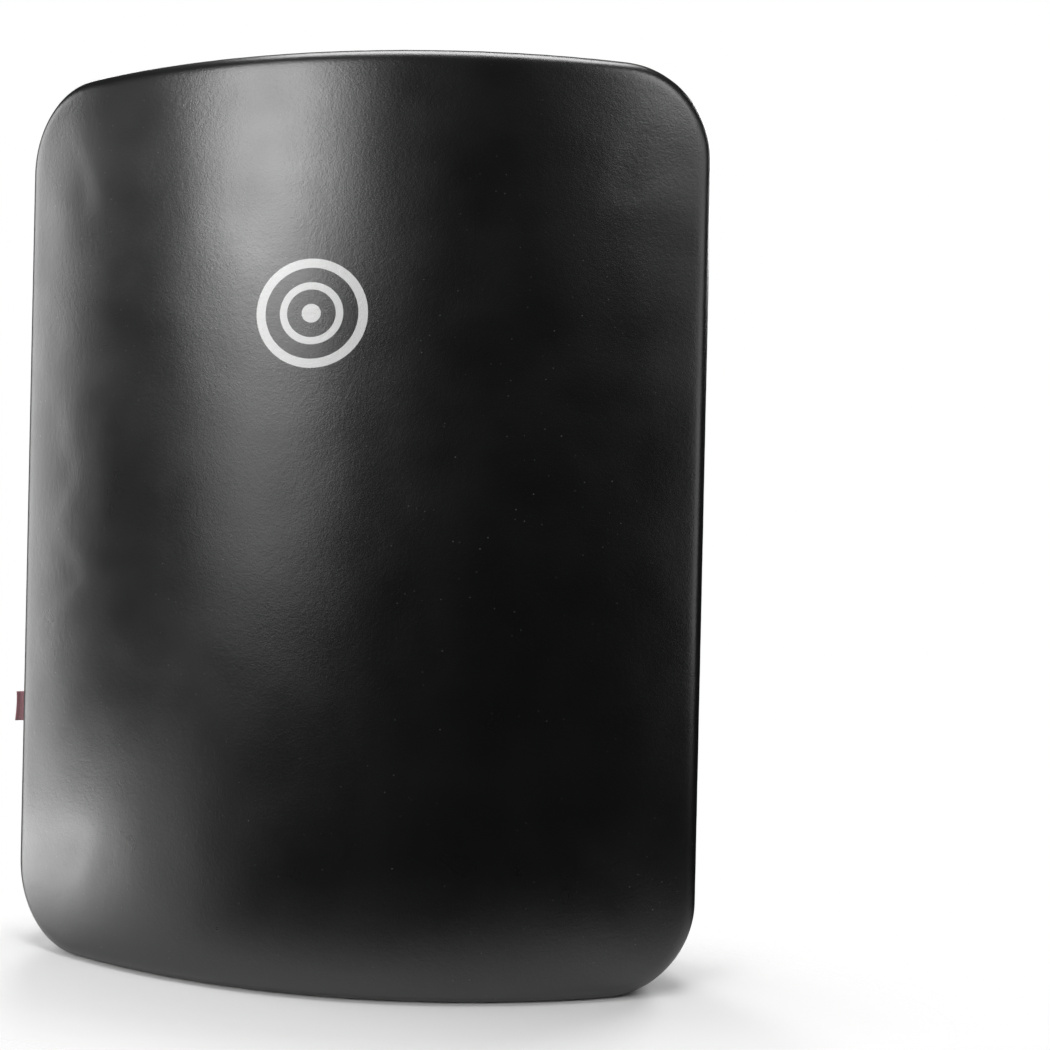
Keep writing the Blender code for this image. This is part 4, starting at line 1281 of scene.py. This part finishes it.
def build_arm(side, name):
    """One padded arm strap: webbing, a fabric sleeve relaxed as cloth, and the foam in it."""
    along = Vector((side * ARM_DIR[0], 0.0, ARM_DIR[1]))
    stations = arm_strap_stations(side, along)
    webbing(f"arm_webbing_{name}", stations, ARM_WEB_W, "cushion", f"arm_strap_{name}")
    pairs = box_cross(0.0105, 0.0150, (stations[-1][4] - 0.0135, 0.0))
    stitch(f"arm_webbing_{name}_stitches", on_band(stations), pairs, GREY_THREAD, "webbing")

    near, far = ARM_SLEEVE
    half = (far - near) / 2
    place = frame_at(arm_point(side, (near + far) / 2), along, TO_USER)
    spokes, rows, flatness, hem_width = 64, 40, 0.42, 0.006
    local, pinned = [], []
    for j in range(rows + 1):
        s = -half + 2 * half * j / rows
        close = float(step(half - abs(s), 0.0, 0.022))
        for a in full_turn(spokes):
            y, z = oval(a, (ARM_W / 2 - 0.0035) + 0.0022 * close,
                        (ARM_T / 2 - 0.0055) + 0.0038 * close, flatness)
            local.append((s, y, z))
            pinned.append(half - abs(s) < hem_width)
    local, pinned = np.array(local), np.array(pinned)
    faces = tube_faces(rows + 1, spokes)
    wobble = cloud(local + [side, 0, 0], size=0.022, seed=5.0 + side) * 0.0010
    start = local + np.stack([0 * wobble, wobble * 0.3, wobble * np.sign(local[:, 2])], 1)
    moved = settle(start, faces, pinned, pressure=2.2, grow=0.045, bending=0.6, frames=22)
    length, cap = np.maximum(np.linalg.norm(moved, axis=1), 1e-9), 0.0042
    moved *= (cap * np.tanh(length / cap) / length)[:, None]
    to_world = np.array(place)
    world = (start + moved) @ to_world[:3, :3].T + to_world[:3, 3]
    obj = refine(face_outward(add_mesh(f"arm_pad_{name}", world, faces, local)))
    rest, fine = read(obj.data, "lay"), normals_of(obj.data)
    from_end = half - np.abs(rest[:, 0])
    hem = -0.0006 * np.exp(-((from_end - hem_width) / 0.0010) ** 2)
    crumple = 0.00075 * cloud(rest * [1.0, 0.6, 1.0] + [side, 0, 0], size=0.013, seed=2.0)
    crumple += 0.00035 * cloud(rest + [side, 0, 0], size=0.0055, seed=4.0)
    write(obj.data, read(obj.data) + fine * (hem + crumple * step(from_end, 0.0, 0.012))[:, None])
    thicken(face_outward(obj), 0.0012)
    finish(obj, ARM_CLOTH, "arm_fabric", "cushion", f"arm_sleeve_{name}", fill=0.6)

    size = (2 * half - 0.030, ARM_W - 0.020, ARM_T - 0.0130)
    foam = from_bmesh(f"arm_core_{name}", block(size, (0, 0, 0), 0.0032, 0, 5), place)
    slot = block((2 * half + 0.02, ARM_WEB_W + 0.001, WEB_T + 0.0008), (0, 0, 0), 0.0003, 0, 1)
    combine(foam, from_bmesh("slot", slot, place))
    finish(foam, FOAM, "foam", "cushion", f"arm_foam_{name}")


def hub_height(x, y):
    """Upper side of a hub disc, slightly domed and raised where webbing runs beneath it."""
    r, a = hypot(x, y), atan2(y, x)
    low = atan2(LOW_ANCHOR[1] - HUB_Z, LOW_ANCHOR[0])
    lift = 0.0
    for at in (atan2(ARM_DIR[1], ARM_DIR[0]), atan2(ARM_DIR[1], -ARM_DIR[0]), low, pi - low):
        across, ahead = abs(r * sin(a - at)), r * cos(a - at)
        if ahead > 0:
            lift = max(lift, float(step(across, ARM_WEB_W / 2 + 0.003, ARM_WEB_W / 2 - 0.003)
                                   * step(ahead, 0.020, 0.034)))
    return HUB_GAP + 0.0016 + 0.0009 * (1 - (r / HUB_R) ** 2) + 0.0006 * lift


def rim_pleat(a, b):
    """Gathers of the hub's binding: rounded lobes with sharp valleys, unevenly spaced."""
    around = Vector((cos(a), sin(a), 0.0))
    t = 21 * a / (2 * pi) + 0.9 * noise.noise(around * 2.3) + 0.35 * cos(b)
    strength = 0.65 + 0.6 * noise.noise(around * 3.1 + Vector((5.0, 2.0, 1.0)))
    return (abs(sin(pi * t)) ** 0.55 - 0.75) * 2.2 * strength


def hub_panel(name, place):
    """Domed disc that follows the webbing under it."""
    rows, spokes, thickness = 14, 72, 0.0013
    top = []
    for j in range(rows + 1):
        r = (HUB_R - 0.0060) * j / rows
        ring = []
        for a in full_turn(spokes):
            x, y = r * cos(a), r * sin(a)
            dent = 0.0004 * noise.noise(Vector((x, y, 3.0)) * 60)
            ring.append(place @ Vector((x, y, hub_height(x, y) + dent)))
        top.append(ring)
    normal = place.to_3x3() @ UP
    under = [[p - normal * thickness for p in ring] for ring in reversed(top)]
    return welded(loops_mesh(name, top + under))


def hub_rim(name, place):
    """Gathered binding round a hub disc."""
    spokes, sides, rings = 288, 14, []
    for a in full_turn(spokes):
        reach = HUB_R - 0.0042 - 0.0006 * cos(8 * a)
        rings.append([])
        for b in full_turn(sides):
            pleat = rim_pleat(a, b)
            r = min(reach + (0.0046 + 0.0007 * pleat) * cos(b), HUB_R + 0.0006)
            z = HUB_GAP + 0.0024 + (0.0023 + 0.0008 * pleat) * sin(b)
            rings[-1].append(place @ Vector((r * cos(a), r * sin(a), max(z, 0.0010))))
    return welded(loops_mesh(name, rings + [rings[0]]))


def build_hub():
    """Two vinyl discs that clamp the four webbings, each with a gathered, glossy bound rim."""
    face = frame_at(Vector((0.0, HARNESS_Y, HUB_Z)), Vector((1.0, 0.0, 0.0)), TO_USER)
    stitch_r = HUB_R - 0.0112
    pairs = [((a, stitch_r), (b, stitch_r)) for a, b in round_seam(66)]
    for name, place in (("outer", face), ("inner", face @ Matrix.Rotation(pi, 4, "X"))):
        def spot(angle, r):
            x, y = r * cos(angle), r * sin(angle)
            return place @ Vector((x, y, hub_height(x, y))), place.to_3x3() @ UP
        finish(hub_panel(f"hub_panel_{name}", place), HUB_VINYL, "grip_vinyl", "cushion",
               f"hub_disc_{name}")
        finish(hub_rim(f"hub_rim_{name}", place), VINYL_GRIP, "grip_vinyl", "cushion")
        stitch(f"hub_stitches_{name}", spot, pairs, BLACK_THREAD, "grip_vinyl")
    repaint(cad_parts["hub_stiffener"], CAD_PLASTIC)


def build_hub_strap(side, name):
    """Short webbing below the hub, laced round the male half's middle bar."""
    _, place = lower_frame(side)
    lace = ((-0.012, 0.0), (-0.005, -0.0026), (-0.001, -0.0034), (0.0035, -0.0034),
            (0.0056, -0.0014), (0.0062, 0.0014), (0.0082, 0.0033), (0.0110, 0.0036),
            (0.0138, 0.0033), (0.0156, 0.0014), (0.0163, -0.0014), (0.0155, -0.0042),
            (0.0130, -0.0055), (0.0020, -0.0056), (-0.0120, -0.0056))
    route = [(STRAP_START, 0.0)] + [(MALE_START + x, z) for x, z in lace]
    webbing(f"hub_webbing_{name}", flat_route(place, route, LOOP_SPACING), ARM_WEB_W, "cushion",
            f"hub_strap_{name}")


def low_strap_stations(place, along, bar):
    """Round the female half's bar, back along itself and down to the lower anchor."""
    start, steps = 0.038, 9
    loop = ((0.036, -0.0011), (0.015, -0.0011), (0.010, -0.0018), (0.0055, -0.0035),
            (0.0020, -0.0038), (-0.0036, -0.0037), (-0.0054, -0.0018), (-0.0054, 0.0018),
            (-0.0036, 0.0037), (0.0020, 0.0038), (0.0055, 0.0035), (0.010, 0.0018),
            (0.015, 0.0011), (start, 0.0011))
    head = flat_route(place, [(bar + x, z) for x, z in loop], LOOP_SPACING)
    sewn = [place @ Vector((r, 0.0, 0.0)) for r in (0.222, 0.235, 0.248, 0.262)]
    lay = [on_back(p.x, p.z, LAY) for p in sewn]
    down = (lay[1] - lay[0]).normalized()
    tail = riser(place @ Vector((bar + start, 0.0, 0.0011)), along, lay[0], down, 0.010, steps)
    normals = fade(TO_USER, back_normal(lay[0].x), steps) + [back_normal(p.x) for p in lay[1:]]
    rest = stations_along(tail + lay[1:], normals, 0.004)
    if rest[0][2].dot(head[-1][2]) < 0:
        rest = [(p, t, -a, -n, d) for p, t, a, n, d in rest]
    shift = head[-1][4]
    return head + [(p, t, a, n, d + shift) for p, t, a, n, d in rest[1:]]


def build_low_strap(side, name):
    """Webbing from the lower anchor, looped round the female half's bar and sewn back."""
    body = f"buckle_{name}"
    along, place = lower_frame(side)
    bar = MALE_START + 0.073
    stations = low_strap_stations(place, along, bar)
    strap = webbing(f"low_webbing_{name}", stations, ARM_WEB_W, None, f"low_strap_{name}")
    upper = 1 if stations[-1][3].dot(TO_USER) > 0 else -1
    on_strap = on_band(stations, upper * WEB_T / 2)

    def spot(d, v):
        point, normal = on_strap(d, v)
        return point, normal * upper
    pairs = box_cross(0.0165, 0.0165, (stations[-1][4] - 0.0195, 0.0), rows=(0.0, 0.0011))
    stitch(f"low_webbing_{name}_stitches", spot, pairs, GREY_THREAD, "webbing",
           thread=0.00040)
    anchor, near = place @ Vector((0.215, 0.0, 0.0)), place @ Vector((0.160, 0.0, 0.0))
    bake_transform(strap)
    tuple(anchor)
    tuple(near)
    pairs = [pair for row in (0.0165, 0.0215)
             for pair in along_line([(bar + row, -0.0165), (bar + row, 0.0165)])]
    stitch(f"low_webbing_{name}_bar_tack",
           lambda r, y: (place @ Vector((r, y, 0.0019)), TO_USER), pairs, BLACK_THREAD,
           "webbing", body)


def carve(obj, place, joins, cutters, edge):
    """Adds and cuts away blocks, each given as block() takes it, and rounds the edges."""
    for operation, name, parts in (("UNION", "join", joins), ("DIFFERENCE", "cut", cutters)):
        for part in parts:
            combine(obj, from_bmesh(name, block(*part), place), operation)
    put_lay(obj.data, read(obj.data))
    return soften(obj, edge)


def build_buckle(side, name):
    """Side release buckle: a laced male half with two prongs, and a ribbed female half.

    Each block is (size, centre from the male half's start, corner radius, corner axis, ...)."""
    _, place = lower_frame(side)
    start = place @ Matrix.Translation((MALE_START, 0.0, 0.0))
    plate = ((0.026, 0.048, 0.0040), (0.013, 0, 0), 0.004, 2)
    solid = (((0.0090, 0.0440, 0.0088), (0.0240, 0.0, 0.0), 0.0016, 1),      # shoulder
             ((0.0250, 0.0050, 0.0064), (0.0385, 0.0185, 0.0), 0.0018, 2),   # prongs
             ((0.0250, 0.0050, 0.0064), (0.0385, -0.0185, 0.0), 0.0018, 2),
             ((0.0180, 0.0090, 0.0050), (0.0350, 0.0, 0.0), 0.0018, 2))      # guide tongue
    slots = [((0.0056, 0.0400, 0.0200), (x, 0.0, 0.0), 0.0010, 2, 2) for x in (0.0056, 0.0164)]
    male = from_bmesh(f"buckle_tongue_{name}", block(*plate), start)
    carve(male, start, solid, slots, 0.0005)
    finish(male, PLASTIC, "buckle_plastic", "cushion", f"buckle_male_{name}")

    shell = ((0.034, 0.050, 0.0120), (0.0475, 0, 0), 0.0055, 2, 5)
    tail = ((0.020, 0.047, 0.0050), (0.0670, 0, 0), 0.004, 2)
    ribs = [((0.0018, 0.026 - 0.002 * k, 0.0030), (0.0400 + 0.0050 * k, 0.0, sign * 0.0052),
             0.0006, 1, 2) for sign in (-1, 1) for k in range(4)]
    hollows = (((0.0300, 0.0420, 0.0074), (0.0420, 0.0, 0.0), 0.0016, 0),    # socket
               ((0.0130, 0.0700, 0.0074), (0.0475, 0.0, 0.0), 0.0030, 1),    # prong windows
               ((0.0056, 0.0400, 0.0200), (0.0675, 0.0, 0.0), 0.0012, 2))    # webbing slot
    female = from_bmesh(f"buckle_socket_{name}", block(*shell), start)
    carve(female, start, [tail] + ribs, hollows, 0.0006)
    finish(female, PLASTIC, "buckle_plastic", f"buckle_{name}", f"buckle_female_{name}")


# ---- stage ----
def softbox(name, aim, azimuth, elevation, distance, size, radiance):
    """Rectangular light seen from the point aim at an azimuth (0 looks along -Y, positive
    towards +X) and an elevation, both in degrees, at a distance. Size is (width, height)."""
    a, e = radians(azimuth), radians(elevation)
    away = Vector((sin(a) * cos(e), -cos(a) * cos(e), sin(e)))
    light = bpy.data.lights.new(name, "AREA")
    light.shape = "RECTANGLE"
    light.size, light.size_y = size
    light.energy = radiance * pi * size[0] * size[1]
    obj = add_object(name, light)
    obj.location = Vector(aim) + away * distance
    obj.rotation_euler = away.to_track_quat("Z", "Y").to_euler()
    obj.visible_camera = False
    return obj


def build_floor():
    """Pale floor that fades into the pale background, sooner in front and behind than beside."""
    squeeze, solid_to, gone_at = (1.0, 3.0, 1.0), 0.26, 0.62
    bm = bmesh.new()
    bmesh.ops.create_circle(bm, cap_ends=True, radius=3.0, segments=96)
    floor = from_bmesh("floor", bm)
    f = Finish("floor", (0.86, 0.86, 0.86), 0.85, space="object")
    f.put("Specular IOR Level", 0.15)
    away = f.add("ShaderNodeVectorMath", {0: f.scaled(squeeze)},
                 operation="LENGTH").outputs["Value"]
    f.put("Base Color", f.blend(f.noise(0.5, 2.0), (0.84, 0.84, 0.84), (0.88, 0.88, 0.88)))
    f.put("Alpha", f.remap(away, solid_to, gone_at, 1.0, 0.0))
    floor.data.materials.append(f.mat)


def build_world():
    """Bright to the camera, dim as a light, so that black vinyl keeps its depth."""
    world = bpy.data.worlds.new("studio")
    bpy.context.scene.world = world
    world.use_nodes = True
    tree = world.node_tree
    back = tree.nodes["Background"]
    seen = tree.nodes.new("ShaderNodeBackground")
    for node, strength in ((back, 0.02), (seen, 1.0)):
        node.inputs["Color"].default_value = (1.0, 1.0, 1.0, 1.0)
        node.inputs["Strength"].default_value = strength
    path = tree.nodes.new("ShaderNodeLightPath")
    mix = tree.nodes.new("ShaderNodeMixShader")
    tree.links.new(path.outputs["Is Camera Ray"], mix.inputs[0])
    tree.links.new(back.outputs[0], mix.inputs[1])
    tree.links.new(seen.outputs[0], mix.inputs[2])
    tree.links.new(mix.outputs[0], tree.nodes["World Output"].inputs["Surface"])


def build_camera():
    """Level view from a little right of the middle, close enough to show the bend."""
    half_angle, roll = radians(24.78), radians(1.26)
    data = bpy.data.cameras.new("camera")
    data.sensor_width = 36.0
    data.lens = data.sensor_width / 2 / tan(half_angle)
    data.clip_start = 0.05
    camera = add_object("camera", data)
    forward = Vector((-0.1416, 0.9899, -0.0016)).normalized()
    level = forward.cross(UP).normalized()
    up = level.cross(forward)
    right = level * cos(roll) + up * sin(roll)
    top = up * cos(roll) - level * sin(roll)
    turned = Matrix((right, top, -forward)).transposed().to_4x4()
    camera.matrix_world = Matrix.Translation((0.284, -0.907, 0.379)) @ turned
    bpy.context.scene.camera = camera


def build_stage():
    build_floor()
    build_world()
    build_camera()
    left_edge, left_foot = (-0.26, 0.03, 0.40), (-0.26, 0.03, 0.10)
    centre_line = (-0.07, -0.04, 0.4)
    softbox("left_wall", left_edge, -90, 8, 1.00, (0.46, 1.30), 3.8)
    softbox("left_low", left_foot, -80, -24, 1.00, (0.66, 0.45), 5.5)
    softbox("left_haze", (-0.16, -0.02, 0.09), -54, -17, 1.20, (0.62, 0.44), 0.85)
    softbox("left_strip", centre_line, -30, 27, 1.90, (0.80, 0.85), 7.6)
    softbox("left_strip_low", centre_line, -30, 4, 1.90, (0.70, 0.65), 2.0)
    softbox("right_rim", (0.27, 0.03, 0.4), 70, 10, 1.30, (0.50, 1.20), 1.3)
    softbox("right_high", (0.25, 0.0, 0.7), 52, 32, 1.60, (0.60, 0.60), 4.2)
    softbox("overhead", (0.0, 0.05, 0.4), 0, 88, 1.90, (1.50, 0.90), 7.5)
    softbox("back_left", (-0.1, 0.05, 0.4), -150, 20, 1.90, (0.60, 1.30), 7.0)
    softbox("back_right", (0.1, 0.05, 0.4), 140, 30, 1.90, (0.90, 0.80), 7.5)
    bpy.context.scene.view_settings.view_transform = "Standard"


# ---- the object ----
build_front()
build_back()
build_gusset()
build_foams()
build_vents()
build_label()
build_top_grip()
for side, name in SIDES:
    build_side_grip(side, name)
    build_patch(f"corner_patch_{name}", side, UPPER_PATCH, 1.0 + side, f"upper_patch_{name}")
    build_patch(f"outer_patch_{name}", side, MIDDLE_PATCH, 4.0 + side, f"middle_patch_{name}")
    for spot, x, z in (("top", 0.116, TOP_GRIP_Z), ("side", side_x(SIDE_RIVET_Z), SIDE_RIVET_Z),
                       ("outer", 0.214, MIDDLE_PATCH[1])):
        build_rivet(f"stud_{name}_{spot}", side * x, z, f"rivet_{name}_{spot}")
    build_arm(side, name)
    build_hub_strap(side, name)
    build_low_strap(side, name)
    build_buckle(side, name)
build_hub()
build_stage()
